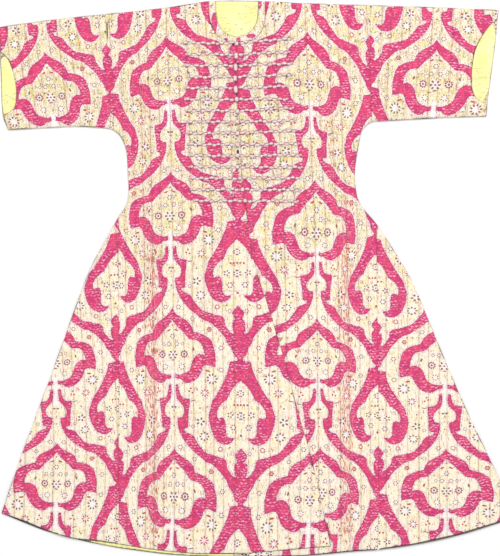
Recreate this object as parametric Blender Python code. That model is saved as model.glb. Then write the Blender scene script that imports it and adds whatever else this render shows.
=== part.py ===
"""Short-sleeved caftan in quilted brocade, laid flat with its front up.

X runs across the caftan, +Y from the hem to the neck and +Z up from the surface it rests on. The
origin lies on that surface, under the middle of the outline. Left and right are those of someone
who looks down at the caftan with its neck at the top. Sizes and tables are in millimetres.
"""
import math
from collections import namedtuple

import bmesh
import bpy
from mathutils import Vector

MM = 0.001

# Thicknesses of the layers
BACK_THICK = 3.0
LINING_THICK = 1.0
BAND_THICK = 3.3
STITCH_THICK = 2.6
QUILT_RISE = 1.0
LAYER_GAP = 0.3

# Quilting
QUILT_PITCH = 24.5
QUILT_RIM = 8.0
CROSS_PITCH = 230.0

# Levels above the surface
LINING_LEVEL = BACK_THICK + LAYER_GAP
FRONT_LEVEL = BACK_THICK + LAYER_GAP
FRONT_TOP = FRONT_LEVEL + STITCH_THICK + QUILT_RISE
FROG_LEVEL = FRONT_TOP + LAYER_GAP

# The lapping front climbs over the front that runs under it
LAP_HEIGHT = STITCH_THICK + QUILT_RISE + LAYER_GAP
LAP_START_Y = 186.0
LAP_FULL_Y = 166.0
LAP_START_X = -50.0
LAP_FULL_X = -27.6

# Slant of each piece's grain, in degrees, anticlockwise from the centre line
LAP_GRAIN = 1.7
UNDER_GRAIN = 2.0
GORE_LEFT_GRAIN = -1.0
GORE_RIGHT_GRAIN = 0.5
SLEEVE_LEFT_GRAIN = 7.4
SLEEVE_RIGHT_GRAIN = -3.2

# Distance between the points of an outline
FINE_STEP = 14.0
STEP = 30.0
LONG_STEP = 75.0

# Frogs: rows of braided cord across the chest
FROG_TOP_Y = 578.0
FROG_PITCH = 27.6
BRAID_HALF_WIDTH = 4.6
BRAID_WAIST = 3.5
BRAID_HEIGHT = 3.4
BRAID_WAIST_HEIGHT = 2.7
BRAID_LOBE = 15.0
KNOT_HALF_WIDTH = 5.6
KNOT_HEIGHT = 4.2
BUTTON_RADIUS = 4.2
LOOP_RADIUS = 5.4
LOOP_CORD_RADIUS = 1.1
LINK_HALF_WIDTH = 1.1

BROCADE_COLOUR = (0.86, 0.36, 0.42, 1.0)
LINING_COLOUR = (0.96, 0.93, 0.48, 1.0)
CORD_COLOUR = (0.74, 0.62, 0.63, 1.0)

Point = namedtuple("Point", "x y")
FrogRow = namedtuple("FrogRow", "left_reach right_reach right_rise")


def points(*pairs):
    """Outline points from x, y pairs."""
    return [Point(*pair) for pair in pairs]


# Shoulders, from the cuff to the neck on the left and from the neck to the cuff on the right
SHOULDER_LEFT_SLEEVE = points((-634, 617), (-498, 636), (-373, 649))
SHOULDER_LEFT_BODY = points((-373, 649), (-231, 664), (-119, 681))
SHOULDER_RIGHT_BODY = points((19, 681), (109, 676), (276, 671))
SHOULDER_RIGHT_SLEEVE = points((276, 671), (479, 664), (591, 659))

# Neck, from the left shoulder to the right one, with the front opening at its lowest point
NECK_EDGE_LEFT = points((-103, 681), (-99, 635), (-82, 605), (-50, 592))
NECK_EDGE_RIGHT = points((-50, 592), (-18, 605), (-1, 630), (3, 681))
NECK_SEAM_LEFT = points((-119, 681), (-115, 630), (-94, 593), (-51, 576))
NECK_SEAM_RIGHT = points((-51, 576), (-6, 590), (15, 622), (19, 681))

# Front opening, from the neck to the hem
OPENING_CHEST = points((-51, 576), (-55, 488), (-49, 421), (-49, 274), (-30, 190), (-27, 166))
OPENING_SKIRT = points((-27, 166), (-14, 65), (29, -76), (65, -196), (104, -340), (136, -455), (180, -654))

# Sleeves and their cuffs
SLEEVE_SEAM_LEFT = points((-373, 649), (-368, 561), (-361, 475), (-361, 369))
SLEEVE_SEAM_RIGHT = points((276, 671), (276, 537), (281, 386))
SLEEVE_UNDER_LEFT = points((-361, 369), (-429, 374), (-551, 369), (-611, 366))
SLEEVE_UNDER_RIGHT = points((281, 386), (321, 388), (444, 395), (561, 399))
CUFF_TOP_LEFT = points((-634, 617), (-630, 558))
CUFF_CURVE_LEFT = points((-630, 558), (-609, 535), (-593, 480), (-591, 444), (-597, 418), (-621, 400))
CUFF_END_LEFT = points((-621, 400), (-611, 366))
CUFF_TOP_RIGHT = points((591, 659), (587, 639))
CUFF_CURVE_RIGHT = points((587, 639), (558, 606), (532, 554), (525, 478), (534, 447), (562, 425))
CUFF_END_RIGHT = points((562, 425), (561, 399))
BACK_CUFF_LEFT = points((-634, 617), (-629, 512), (-624, 400), (-611, 366))
BACK_CUFF_RIGHT = points((591, 659), (582, 569), (568, 463), (561, 399))

# Sides from the armpit to the top of the gore, then the gore's outer edge down to the hem
SIDE_LEFT = points((-361, 369), (-339, 355), (-323, 323), (-318, 272), (-316, 206), (-322, 179), (-340, 153))
SIDE_RIGHT = points((281, 386), (259, 368), (245, 312), (239, 260), (241, 223), (252, 184), (292, 135))
GORE_EDGE_LEFT = points((-340, 153), (-395, 54), (-421, -2), (-501, -223), (-576, -426), (-627, -574))
GORE_EDGE_RIGHT = points((292, 135), (335, 69), (380, -8), (439, -149), (511, -318), (582, -467), (634, -583))
GORE_SEAM_LEFT = points((-340, 153), (-340, -649))
GORE_SEAM_RIGHT = points((292, 135), (294, -125), (298, -419), (295, -664))

# Hems, from left to right
HEM_GORE_LEFT = points((-627, -574), (-567, -595), (-517, -616), (-456, -635), (-391, -642), (-340, -649))
HEM_LAP = points((-340, -649), (-258, -662), (-141, -673), (-30, -672), (65, -664), (180, -654))
HEM_UNDER = points((-27, -681), (104, -679), (168, -674), (232, -668), (295, -664))
HEM_GORE_RIGHT = points((295, -664), (386, -651), (489, -629), (582, -601), (634, -583))
BACK_HEM_GORE = points((-627, -574), (-517, -618), (-435, -640), (-340, -659))
BACK_HEM_BODY = points((-340, -659), (-214, -675), (-116, -680), (-27, -681))

# Part of the back hem whose lining shows below the front
HEM_LINING_START = -432.0
HEM_LINING_END = -36.0

# Reach of each row of frogs to the left and right of the centre, and the rise of its right end
FROG_ROWS = [
    FrogRow(187, 87, 12),
    FrogRow(177, 80, 6),
    FrogRow(182, 87, 6),
    FrogRow(172, 87, 6),
    FrogRow(180, 75, 5),
    FrogRow(180, 75, 1),
    FrogRow(177, 90, 7),
    FrogRow(175, 95, 4),
    FrogRow(172, 99, 7),
    FrogRow(172, 104, 2),
    FrogRow(170, 109, 2),
    FrogRow(170, 112, -1),
    FrogRow(168, 107, 1),
    FrogRow(165, 107, -1),
    FrogRow(158, 102, -1),
]


def clear_scene():
    """Start from an empty scene."""
    for thing in list(bpy.data.objects):
        bpy.data.objects.remove(thing, do_unlink=True)


def new_collection(name):
    """A collection linked to the scene."""
    collection = bpy.data.collections.new(name)
    bpy.context.scene.collection.children.link(collection)
    return collection


def new_material(name, colour, roughness, metallic=0.0):
    """A plain material with the piece's colour."""
    material = bpy.data.materials.new(name)
    material.use_nodes = True
    shader = material.node_tree.nodes["Principled BSDF"]
    shader.inputs["Base Color"].default_value = colour
    shader.inputs["Roughness"].default_value = roughness
    shader.inputs["Metallic"].default_value = metallic
    material.diffuse_color = colour
    return material


def new_object(name, bm, material, collection):
    """An object in metres from a mesh whose points are in millimetres."""
    bmesh.ops.scale(bm, vec=(MM, MM, MM), verts=bm.verts)
    bmesh.ops.recalc_face_normals(bm, faces=bm.faces)
    mesh = bpy.data.meshes.new(name)
    bm.to_mesh(mesh)
    bm.free()
    mesh.materials.append(material)
    thing = bpy.data.objects.new(name, mesh)
    collection.objects.link(thing)
    return thing


def smooth(knots, step=STEP):
    """Points along a smooth curve through the knots, about a step apart."""
    if len(knots) == 2:
        return list(knots)
    slopes = []
    for index in range(len(knots)):
        before = knots[max(index - 1, 0)]
        after = knots[min(index + 1, len(knots) - 1)]
        run = math.dist(before, knots[index]) + math.dist(knots[index], after)
        slopes.append(((after.x - before.x) / run, (after.y - before.y) / run))
    curve = []
    for index in range(len(knots) - 1):
        start, end = knots[index], knots[index + 1]
        span = math.dist(start, end)
        count = max(1, round(span / step))
        for number in range(count):
            t = number / count
            from_start = 2 * t ** 3 - 3 * t ** 2 + 1
            from_end = 3 * t ** 2 - 2 * t ** 3
            leave = (t ** 3 - 2 * t ** 2 + t) * span
            arrive = (t ** 3 - t ** 2) * span
            curve.append(Point(*(
                from_start * start[axis] + from_end * end[axis]
                + leave * slopes[index][axis] + arrive * slopes[index + 1][axis]
                for axis in (0, 1)
            )))
    curve.append(knots[-1])
    return curve


def outline_of(*curves):
    """One closed outline from curves that follow each other."""
    outline = []
    for curve in curves:
        outline.extend(curve[:-1])
    return outline


def back_along(curve):
    """The same curve, walked the other way."""
    return list(reversed(curve))


def trimmed(outline, margin):
    """The outline with each side moved in by the margin."""
    result = []
    for index, corner in enumerate(outline):
        before = outline[index - 1]
        after = outline[(index + 1) % len(outline)]
        into = Vector((corner.x - before.x, corner.y - before.y)).normalized()
        out = Vector((after.x - corner.x, after.y - corner.y)).normalized()
        inward = (Vector((-into.y, into.x)) + Vector((-out.y, out.x))).normalized()
        reach = margin / max(0.3, inward.dot(Vector((-out.y, out.x))))
        result.append(Point(corner.x + inward.x * reach, corner.y + inward.y * reach))
    return result


def cut_across(bm, across, angle):
    """Cut the flat cloth along the line at a distance across its grain."""
    normal = Vector((math.cos(angle), math.sin(angle), 0.0))
    bmesh.ops.bisect_plane(
        bm, geom=bm.verts[:] + bm.edges[:] + bm.faces[:], dist=0.001,
        plane_co=normal * across, plane_no=normal,
    )


def grain_lines(outline, angle, pitch):
    """Distances across the grain, in steps of the pitch, that cross the outline."""
    across = [corner.x * math.cos(angle) + corner.y * math.sin(angle) for corner in outline]
    first = math.floor(min(across) / pitch) + 1
    last = math.ceil(max(across) / pitch) - 1
    return [number * pitch for number in range(first, last + 1)]


def ramp(value, start, end):
    """Smooth step from 0 at start to 1 at end."""
    t = min(1.0, max(0.0, (value - start) / (end - start)))
    return t * t * (3 - 2 * t)


def flat_lift(x, y):
    """Height of a piece that lies straight on the layer below."""
    return 0.0


def lap_lift(x, y):
    """Height of the lapping front, which climbs over the front beneath it."""
    sideways = ramp(x, LAP_START_X, LAP_FULL_X)
    downwards = ramp(-y, -LAP_START_Y, -LAP_FULL_Y)
    return LAP_HEIGHT * sideways * downwards


def quilt_height(x, y, angle):
    """Rise of the padding between two stitch lines, 0 on a line and 1 half way."""
    across = x * math.cos(angle) + y * math.sin(angle)
    return 1.0 - abs(2.0 * (across / QUILT_PITCH % 1.0) - 1.0)


def panel(name, outline, level, thick, material, collection, grain=None, lift=flat_lift, folds=()):
    """A piece of cloth: a wall over its outline, quilted on top where a grain is given.

    Folds are extra cuts where the lift bends, each a distance and an angle."""
    bm = bmesh.new()
    edge = trimmed(outline, LAYER_GAP / 2)
    face = bm.faces.new([bm.verts.new((corner.x, corner.y, 0.0)) for corner in edge])
    if grain is not None:
        angle = math.radians(grain)
        bmesh.ops.inset_region(bm, faces=[face], thickness=QUILT_RIM, use_even_offset=True, use_boundary=True)
        for across in grain_lines(edge, angle, QUILT_PITCH / 2):
            cut_across(bm, across, angle)
        for across in grain_lines(edge, angle + math.pi / 2, CROSS_PITCH):
            cut_across(bm, across, angle + math.pi / 2)
    for across, fold_angle in folds:
        cut_across(bm, across, math.radians(fold_angle))
    bmesh.ops.triangulate(bm, faces=bm.faces[:])
    rim = bm.verts.layers.int.new("rim")
    for corner in bm.verts:
        corner[rim] = int(corner.is_boundary)
    raised = bmesh.ops.extrude_face_region(bm, geom=bm.faces[:])["geom"]
    top = {part for part in raised if isinstance(part, bmesh.types.BMVert)}
    for corner in bm.verts:
        corner.co.z = level + lift(corner.co.x, corner.co.y)
        if corner in top:
            corner.co.z += thick
            if grain is not None and not corner[rim]:
                corner.co.z += QUILT_RISE * quilt_height(corner.co.x, corner.co.y, angle)
    return new_object(name, bm, material, collection)


def build_back(material, collection):
    """The back: a loom width with a gore at each side, and the backs of the sleeves."""
    seam_left = [GORE_SEAM_LEFT[0], BACK_HEM_GORE[-1]]
    panel("back_panel", outline_of(
        smooth(BACK_HEM_BODY, LONG_STEP), smooth(HEM_UNDER, LONG_STEP),
        back_along(smooth(GORE_SEAM_RIGHT, LONG_STEP)), back_along(smooth(SIDE_RIGHT, FINE_STEP)),
        back_along(smooth(SLEEVE_SEAM_RIGHT, LONG_STEP)), back_along(smooth(SHOULDER_RIGHT_BODY, LONG_STEP)),
        [SHOULDER_RIGHT_BODY[0], SHOULDER_LEFT_BODY[-1]],
        back_along(smooth(SHOULDER_LEFT_BODY, LONG_STEP)), smooth(SLEEVE_SEAM_LEFT, LONG_STEP),
        smooth(SIDE_LEFT, FINE_STEP), seam_left,
    ), 0.0, BACK_THICK, material, collection)
    panel("back_gore_l", outline_of(
        smooth(BACK_HEM_GORE, LONG_STEP), back_along(seam_left), smooth(GORE_EDGE_LEFT, LONG_STEP),
    ), 0.0, BACK_THICK, material, collection)
    panel("back_gore_r", outline_of(
        smooth(GORE_SEAM_RIGHT, LONG_STEP), smooth(HEM_GORE_RIGHT, LONG_STEP),
        back_along(smooth(GORE_EDGE_RIGHT, LONG_STEP)),
    ), 0.0, BACK_THICK, material, collection)
    panel("back_sleeve_l", outline_of(
        smooth(BACK_CUFF_LEFT, LONG_STEP), back_along(smooth(SLEEVE_UNDER_LEFT, LONG_STEP)),
        back_along(smooth(SLEEVE_SEAM_LEFT, LONG_STEP)), back_along(smooth(SHOULDER_LEFT_SLEEVE, LONG_STEP)),
    ), 0.0, BACK_THICK, material, collection)
    panel("back_sleeve_r", outline_of(
        smooth(SLEEVE_SEAM_RIGHT, LONG_STEP), smooth(SLEEVE_UNDER_RIGHT, LONG_STEP),
        back_along(smooth(BACK_CUFF_RIGHT, LONG_STEP)), back_along(smooth(SHOULDER_RIGHT_SLEEVE, LONG_STEP)),
    ), 0.0, BACK_THICK, material, collection)


def between(curve, start, end):
    """The points of a curve whose x lies between start and end."""
    return [corner for corner in curve if start <= corner.x <= end]


def build_lining(material, collection):
    """The lining, where the front leaves it in sight."""
    panel("lining_neck", outline_of(
        smooth(NECK_EDGE_LEFT, FINE_STEP), smooth(NECK_EDGE_RIGHT, FINE_STEP),
        [NECK_EDGE_RIGHT[-1], NECK_EDGE_LEFT[0]],
    ), LINING_LEVEL, LINING_THICK, material, collection)
    inner = smooth(CUFF_CURVE_LEFT, FINE_STEP)[1:-1]
    outer = [Point(corner.x + 1, corner.y) for corner in smooth(BACK_CUFF_LEFT, STEP)
             if inner[-1].y < corner.y < inner[0].y]
    panel("lining_cuff_l", outer + back_along(inner), LINING_LEVEL, LINING_THICK, material, collection)
    inner = smooth(CUFF_CURVE_RIGHT, FINE_STEP)[1:-1]
    outer = [Point(corner.x - 1, corner.y) for corner in smooth(BACK_CUFF_RIGHT, STEP)
             if inner[-1].y < corner.y < inner[0].y]
    panel("lining_cuff_r", inner + back_along(outer), LINING_LEVEL, LINING_THICK, material, collection)
    front_hem = outline_of(smooth(HEM_GORE_LEFT), smooth(HEM_LAP))
    back_hem = outline_of(smooth(BACK_HEM_GORE), smooth(BACK_HEM_BODY))
    below = [Point(corner.x, corner.y + 1) for corner in between(back_hem, HEM_LINING_START, HEM_LINING_END)]
    above = between(front_hem, HEM_LINING_START, HEM_LINING_END)
    panel("lining_hem", below + back_along(above), LINING_LEVEL, LINING_THICK, material, collection)


def build_front(material, collection):
    """The fronts, their gores and the fronts of the sleeves, all quilted."""
    panel("front_lap", outline_of(
        smooth(HEM_LAP, LONG_STEP), back_along(smooth(OPENING_SKIRT, LONG_STEP)),
        back_along(smooth(OPENING_CHEST)), back_along(smooth(NECK_SEAM_LEFT, FINE_STEP)),
        back_along(smooth(SHOULDER_LEFT_BODY, LONG_STEP)), smooth(SLEEVE_SEAM_LEFT, LONG_STEP),
        smooth(SIDE_LEFT, FINE_STEP), GORE_SEAM_LEFT,
    ), FRONT_LEVEL, STITCH_THICK, material, collection, LAP_GRAIN, lap_lift, (
        (LAP_START_X, 0.0), ((LAP_START_X + LAP_FULL_X) / 2, 0.0), (LAP_FULL_X, 0.0),
        (LAP_START_Y, 90.0), ((LAP_START_Y + LAP_FULL_Y) / 2, 90.0), (LAP_FULL_Y, 90.0),
    ))
    under_edge = [OPENING_CHEST[-1], HEM_UNDER[0]]
    panel("front_under", outline_of(
        smooth(HEM_UNDER, LONG_STEP), back_along(smooth(GORE_SEAM_RIGHT, LONG_STEP)),
        back_along(smooth(SIDE_RIGHT, FINE_STEP)), back_along(smooth(SLEEVE_SEAM_RIGHT, LONG_STEP)),
        back_along(smooth(SHOULDER_RIGHT_BODY, LONG_STEP)), back_along(smooth(NECK_SEAM_RIGHT, FINE_STEP)),
        smooth(OPENING_CHEST), under_edge,
    ), FRONT_LEVEL, STITCH_THICK, material, collection, UNDER_GRAIN)
    panel("front_gore_l", outline_of(
        smooth(HEM_GORE_LEFT, LONG_STEP), back_along(GORE_SEAM_LEFT), smooth(GORE_EDGE_LEFT, LONG_STEP),
    ), FRONT_LEVEL, STITCH_THICK, material, collection, GORE_LEFT_GRAIN)
    panel("front_gore_r", outline_of(
        smooth(GORE_SEAM_RIGHT, LONG_STEP), smooth(HEM_GORE_RIGHT, LONG_STEP),
        back_along(smooth(GORE_EDGE_RIGHT, LONG_STEP)),
    ), FRONT_LEVEL, STITCH_THICK, material, collection, GORE_RIGHT_GRAIN)
    panel("front_sleeve_l", outline_of(
        CUFF_TOP_LEFT, smooth(CUFF_CURVE_LEFT, FINE_STEP), CUFF_END_LEFT,
        back_along(smooth(SLEEVE_UNDER_LEFT, LONG_STEP)), back_along(smooth(SLEEVE_SEAM_LEFT, LONG_STEP)),
        back_along(smooth(SHOULDER_LEFT_SLEEVE, LONG_STEP)),
    ), FRONT_LEVEL, STITCH_THICK, material, collection, SLEEVE_LEFT_GRAIN)
    panel("front_sleeve_r", outline_of(
        smooth(SLEEVE_SEAM_RIGHT, LONG_STEP), smooth(SLEEVE_UNDER_RIGHT, LONG_STEP),
        back_along(CUFF_END_RIGHT), back_along(smooth(CUFF_CURVE_RIGHT, FINE_STEP)), back_along(CUFF_TOP_RIGHT),
        back_along(smooth(SHOULDER_RIGHT_SLEEVE, LONG_STEP)),
    ), FRONT_LEVEL, STITCH_THICK, material, collection, SLEEVE_RIGHT_GRAIN)


def build_neck_band(material, collection):
    """The narrow band round the neck, in two halves that meet at the opening."""
    panel("neck_band_l", outline_of(
        smooth(NECK_SEAM_LEFT, FINE_STEP), [NECK_SEAM_LEFT[-1], NECK_EDGE_LEFT[-1]],
        back_along(smooth(NECK_EDGE_LEFT, FINE_STEP)), [NECK_EDGE_LEFT[0], NECK_SEAM_LEFT[0]],
    ), FRONT_LEVEL, BAND_THICK, material, collection)
    panel("neck_band_r", outline_of(
        smooth(NECK_SEAM_RIGHT, FINE_STEP), [NECK_SEAM_RIGHT[-1], NECK_EDGE_RIGHT[-1]],
        back_along(smooth(NECK_EDGE_RIGHT, FINE_STEP)), [NECK_EDGE_RIGHT[0], NECK_SEAM_RIGHT[0]],
    ), FRONT_LEVEL, BAND_THICK, material, collection)


def opening_x(y):
    """Where the front opening lies at a height on the chest."""
    curve = smooth(OPENING_CHEST)
    for upper, lower in zip(curve, curve[1:]):
        if lower.y <= y <= upper.y:
            share = (upper.y - y) / (upper.y - lower.y)
            return upper.x + share * (lower.x - upper.x)
    return curve[0].x


Section = namedtuple("Section", "along half_width bottom height")


def braid_sections(length):
    """Sections of a plaited cord, from the knot at its outer end to its inner end."""
    lobes = max(5, round(length / BRAID_LOBE))
    sections = [Section(0.0, 0.5 * KNOT_HALF_WIDTH, 0.4, KNOT_HEIGHT - 1.2)]
    for number in range(2 * lobes):
        along = length * (number + 0.5) / (2 * lobes)
        if number == 0:
            sections.append(Section(along, KNOT_HALF_WIDTH, 0.0, KNOT_HEIGHT))
        elif number % 2:
            sections.append(Section(along, BRAID_WAIST, 0.0, BRAID_WAIST_HEIGHT))
        else:
            sections.append(Section(along, BRAID_HALF_WIDTH, 0.0, BRAID_HEIGHT))
    sections.append(Section(length, 0.6 * BRAID_WAIST, 0.0, BRAID_WAIST_HEIGHT - 0.3))
    return sections


def button_sections(centre):
    """Sections of the link over the loop and of the knotted button at its end."""
    link = [
        Section(centre - LOOP_RADIUS - 2.0, LINK_HALF_WIDTH, 2.6, 2.0),
        Section(centre - LOOP_RADIUS + 1.0, LINK_HALF_WIDTH, 2.8, 2.0),
    ]
    ball = []
    for degrees in (160, 130, 90, 50, 20):
        radius = BUTTON_RADIUS * math.sin(math.radians(degrees))
        along = centre + BUTTON_RADIUS * math.cos(math.radians(degrees))
        ball.append(Section(along, radius, BUTTON_RADIUS - radius, 2 * radius))
    return link + ball


def loft(sections, start, direction):
    """A closed solid through six-sided rings along a straight line on the cloth."""
    bm = bmesh.new()
    side = Vector((-direction.y, direction.x, 0.0))
    rings = []
    for section in sections:
        middle = start + direction * section.along
        ring = []
        for degrees in range(30, 390, 60):
            sideways = section.half_width * math.cos(math.radians(degrees)) / math.cos(math.radians(30))
            upwards = section.height / 2 * math.sin(math.radians(degrees))
            corner = middle + side * sideways
            corner.z += section.bottom + section.height / 2 + upwards
            ring.append(bm.verts.new(corner))
        rings.append(ring)
    for ring, following in zip(rings, rings[1:]):
        for index in range(len(ring)):
            beside = (index + 1) % len(ring)
            bm.faces.new((ring[index], ring[beside], following[beside], following[index]))
    bm.faces.new(rings[0])
    bm.faces.new(rings[-1])
    bmesh.ops.triangulate(bm, faces=bm.faces[:])
    return bm


def build_frogs(material, collection, cutters):
    """Rows of braided cord: a button ends each left half, and a loop round it each right half."""
    for number, row in enumerate(FROG_ROWS, start=1):
        y = FROG_TOP_Y - FROG_PITCH * (number - 1)
        middle = Vector((opening_x(y), y, FROG_LEVEL))

        outer = Vector((-row.left_reach, y, FROG_LEVEL))
        direction = (middle - outer).normalized()
        centre = (middle - outer).length
        sections = braid_sections(centre - LOOP_RADIUS - 4.2) + button_sections(centre)
        new_object(f"frog_l_{number:02d}", loft(sections, outer, direction), material, collection)

        outer = Vector((row.right_reach, y + row.right_rise, FROG_LEVEL))
        direction = (middle - outer).normalized()
        length = (middle - outer).length - LOOP_RADIUS
        braid = new_object(
            f"frog_r_{number:02d}", loft(braid_sections(length), outer, direction), material, collection)
        bpy.ops.mesh.primitive_torus_add(
            major_segments=12, minor_segments=5,
            major_radius=LOOP_RADIUS * MM, minor_radius=LOOP_CORD_RADIUS * MM,
            location=(middle + Vector((0, 0, LOOP_CORD_RADIUS))) * MM,
        )
        loop = bpy.context.active_object
        loop.name = f"loop_{number:02d}"
        loop.hide_render = True
        loop.display_type = "WIRE"
        loop.users_collection[0].objects.unlink(loop)
        cutters.objects.link(loop)
        union = braid.modifiers.new("loop", "BOOLEAN")
        union.operation = "UNION"
        union.solver = "EXACT"
        union.object = loop


def main():
    """Build every piece of the caftan."""
    clear_scene()
    caftan = new_collection("caftan")
    cutters = new_collection("cutters")
    brocade = new_material("brocade", BROCADE_COLOUR, 0.7)
    lining = new_material("lining", LINING_COLOUR, 0.8)
    cord = new_material("cord", CORD_COLOUR, 0.6)
    build_back(brocade, caftan)
    build_lining(lining, caftan)
    build_front(brocade, caftan)
    build_neck_band(brocade, caftan)
    build_frogs(cord, caftan, cutters)


main()
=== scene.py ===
"""Looks for a short-sleeved caftan in quilted brocade, laid flat with its front up.

The woven pattern is charted as a half repeat, mirrored about both of its edges. Chart
units are 2.45 mm. Every panel's cloth is a thin sheet over its solid, quilted along the warp.
"""
import itertools
import math

import bpy
import numpy as np
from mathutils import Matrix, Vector
from mathutils.geometry import delaunay_2d_cdt


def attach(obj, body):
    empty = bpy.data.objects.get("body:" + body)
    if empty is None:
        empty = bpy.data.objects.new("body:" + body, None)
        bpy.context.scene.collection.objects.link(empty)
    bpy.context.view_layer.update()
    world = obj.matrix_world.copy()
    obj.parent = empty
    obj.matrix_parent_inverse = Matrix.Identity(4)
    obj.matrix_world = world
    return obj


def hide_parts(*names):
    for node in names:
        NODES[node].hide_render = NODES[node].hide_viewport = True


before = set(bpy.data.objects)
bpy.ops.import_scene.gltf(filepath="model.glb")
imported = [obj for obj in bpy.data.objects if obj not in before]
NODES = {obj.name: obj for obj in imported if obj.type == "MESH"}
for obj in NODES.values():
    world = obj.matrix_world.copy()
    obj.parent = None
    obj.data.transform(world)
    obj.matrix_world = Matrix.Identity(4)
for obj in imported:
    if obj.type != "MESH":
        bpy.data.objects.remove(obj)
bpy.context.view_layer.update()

bl_info = {
    "name": "Quilted brocade caftan",
    "version": (1, 0, 0),
    "blender": (4, 2, 0),
    "location": "View3D > Sidebar > Caftan",
    "description": "Builds the cloth, lining, neck band and braided frogs of a quilted caftan",
    "category": "Add Mesh",
}

MM = 0.001
UNIT = 0.00245
MIDDLE = (257.4, 279.0)

# Levels above the surface, as in the part's source
BACK_THICK = 3.0 * MM
LINING_LEVEL = 3.3 * MM
LINING_THICK = 1.0 * MM
FRONT_LEVEL = 3.3 * MM
STITCH_THICK = 2.6 * MM
BAND_THICK = 3.3 * MM
FROG_LEVEL = 7.0 * MM
SEAM_HALF_GAP = 0.15 * MM

# The floor, the lamp and the camera in metres, but the sensor's width in millimetres and the
# picture's middle in chart units
FLOOR_SIZE, FLOOR_LEVEL = 12.0, -0.0002
LAMP_SIZE, LAMP_PLACE = (2.4, 1.6), (0.6, 2.4, 4.1)
SENSOR_WIDTH, FARTHEST, CLOTH_TOP = 36.0, 50, 0.006
PICTURE_MIDDLE = (250, 278)

# Turns of an outline that are corners, how near the pattern's edges come to a cut edge, how far
# apart two joined points of them may lie, and the share of its box that a narrow strip fills
CORNER_DEGREES = 28
EDGE_MARGIN = 1.3 * MM
LONGEST_LINK = 6 * MM
NARROW_SHARE = 0.35
# How far from an edge its seam is looked for, and the gaps beyond it that tell a seam from an open
# edge; the slow swell of the cloth and its limits; the depth in millimetres of a crease; and the
# mesh steps of the lining and the neck band
SEAM_REACH, SEAM_OPENING = 8 * MM, (0.6 * MM, 2.0 * MM)
SWELL, SWELL_LIMITS = 0.35 * MM, (-0.2 * MM, 0.4 * MM)
CREASE_DEPTH = 0.8
LINING_STEP, BAND_STEP = 2.5 * MM, 1.6 * MM

# The lapping front climbs over the front beneath it
LAP_HEIGHT = 3.9 * MM
LAP_START = (-50.0 * MM, 186.0 * MM)
LAP_FULL = (-27.6 * MM, 166.0 * MM)

# Woven pattern: half a repeat wide, one repeat high
HALF_REPEAT = 66.5
CURVE_STEP = 1.2
REPEAT = 142.0
CORNER = 1

# The pointed palmette on the first axis: one closed crimson band, right half
PALMETTE = [
    (0, 0, CORNER), (2.1, 4), (7, 8.5), (14.9, 13.5), (18.8, 18), (20.9, 24.2, CORNER), (26.6, 25.5),
    (33.6, 28.5), (38.5, 33), (40.8, 40), (42.3, 48), (41.9, 58.8, CORNER), (39.4, 58), (32.9, 56.5),
    (29.9, 58.5), (27.8, 64), (24.7, 69), (19.6, 73), (14.5, 74.5), (10.5, 73.2), (8.1, 70.8),
    (4.6, 70.5), (2.6, 69.2, CORNER), (2.9, 66.2, CORNER), (5.7, 67.2), (9.7, 66.2), (14.8, 64.2),
    (17.8, 60.5), (19.8, 54), (22.1, 49.5), (26.1, 46.8), (29.6, 46.8), (32.3, 48.2, CORNER),
    (32, 44), (31.3, 40.5), (28.4, 35), (25, 32.2), (20.5, 31.2), (17.5, 30.8, CORNER), (14.6, 27.5),
    (10.7, 23), (6.8, 19.5), (3.3, 15.5), (0, 10.5, CORNER),
]

# The stem, the lattice band that it grows into and the bud on the second axis: outer edge
STEM_OUTER = [
    (3.2, 76.8, CORNER), (5.2, 76.8, CORNER), (5.4, 80), (6.5, 85), (8.2, 89), (11.1, 90.5),
    (15.9, 91.2, CORNER), (15.5, 97), (14.6, 104), (14.1, 112), (13.9, 119.5, CORNER),
    (9.4, 120.3, CORNER), (11, 124), (15, 126), (19, 128.5), (21.3, 133), (24.6, 138), (30.3, 144.6),
    (37.2, 147), (43.2, 149), (49.2, 150.5), (51.7, 153), (52.6, 159), (55.1, 163), (58, 167),
    (61.5, 168.8, CORNER), (62.5, 167.5), (61, 165), (60.5, 160), (61, 155.5), (63.7, 153.5, CORNER),
    (62.5, 151), (61, 147), (64, 143), (66.5, 140.2, CORNER),
]
# Its inner edge, the crossing, and the ring round the second axis
STEM_INNER = [
    (3.2, 76.8, CORNER), (2.9, 80), (3.1, 86), (4.2, 90.5), (7.1, 94), (10, 98), (11.1, 102),
    (10.4, 106.5), (8.4, 109.2), (4.9, 109.8, CORNER), (4.6, 112), (4.9, 117), (6.4, 123), (9, 129.5),
    (12.4, 135.5), (16.8, 141), (21.5, 145.6), (27, 150), (31.9, 154), (36.8, 155.5), (41.7, 159),
    (47.6, 165), (52.5, 171), (55, 177), (58.4, 182), (61.2, 189), (64.2, 192, CORNER),
    (64.2, 195, CORNER), (56.4, 196.2, CORNER), (55.3, 203), (52.7, 210), (48.4, 219), (43.3, 228),
    (38.1, 236), (36.5, 242), (34.4, 250), (35.4, 259), (37.9, 267), (41.9, 274), (47.9, 277.7),
    (53.9, 277.5), (57.9, 274.5), (59.9, 271.8, CORNER), (55.9, 272.5), (52.9, 271), (51.1, 267),
    (50.9, 260), (49.9, 254), (47.9, 252), (44.9, 252.5), (43.4, 253.5, CORNER), (42.1, 250),
    (42.4, 245), (45, 240), (49, 236), (52.5, 234, CORNER), (54, 230), (57, 224), (61.1, 219),
    (66.5, 214, CORNER),
]

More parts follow.
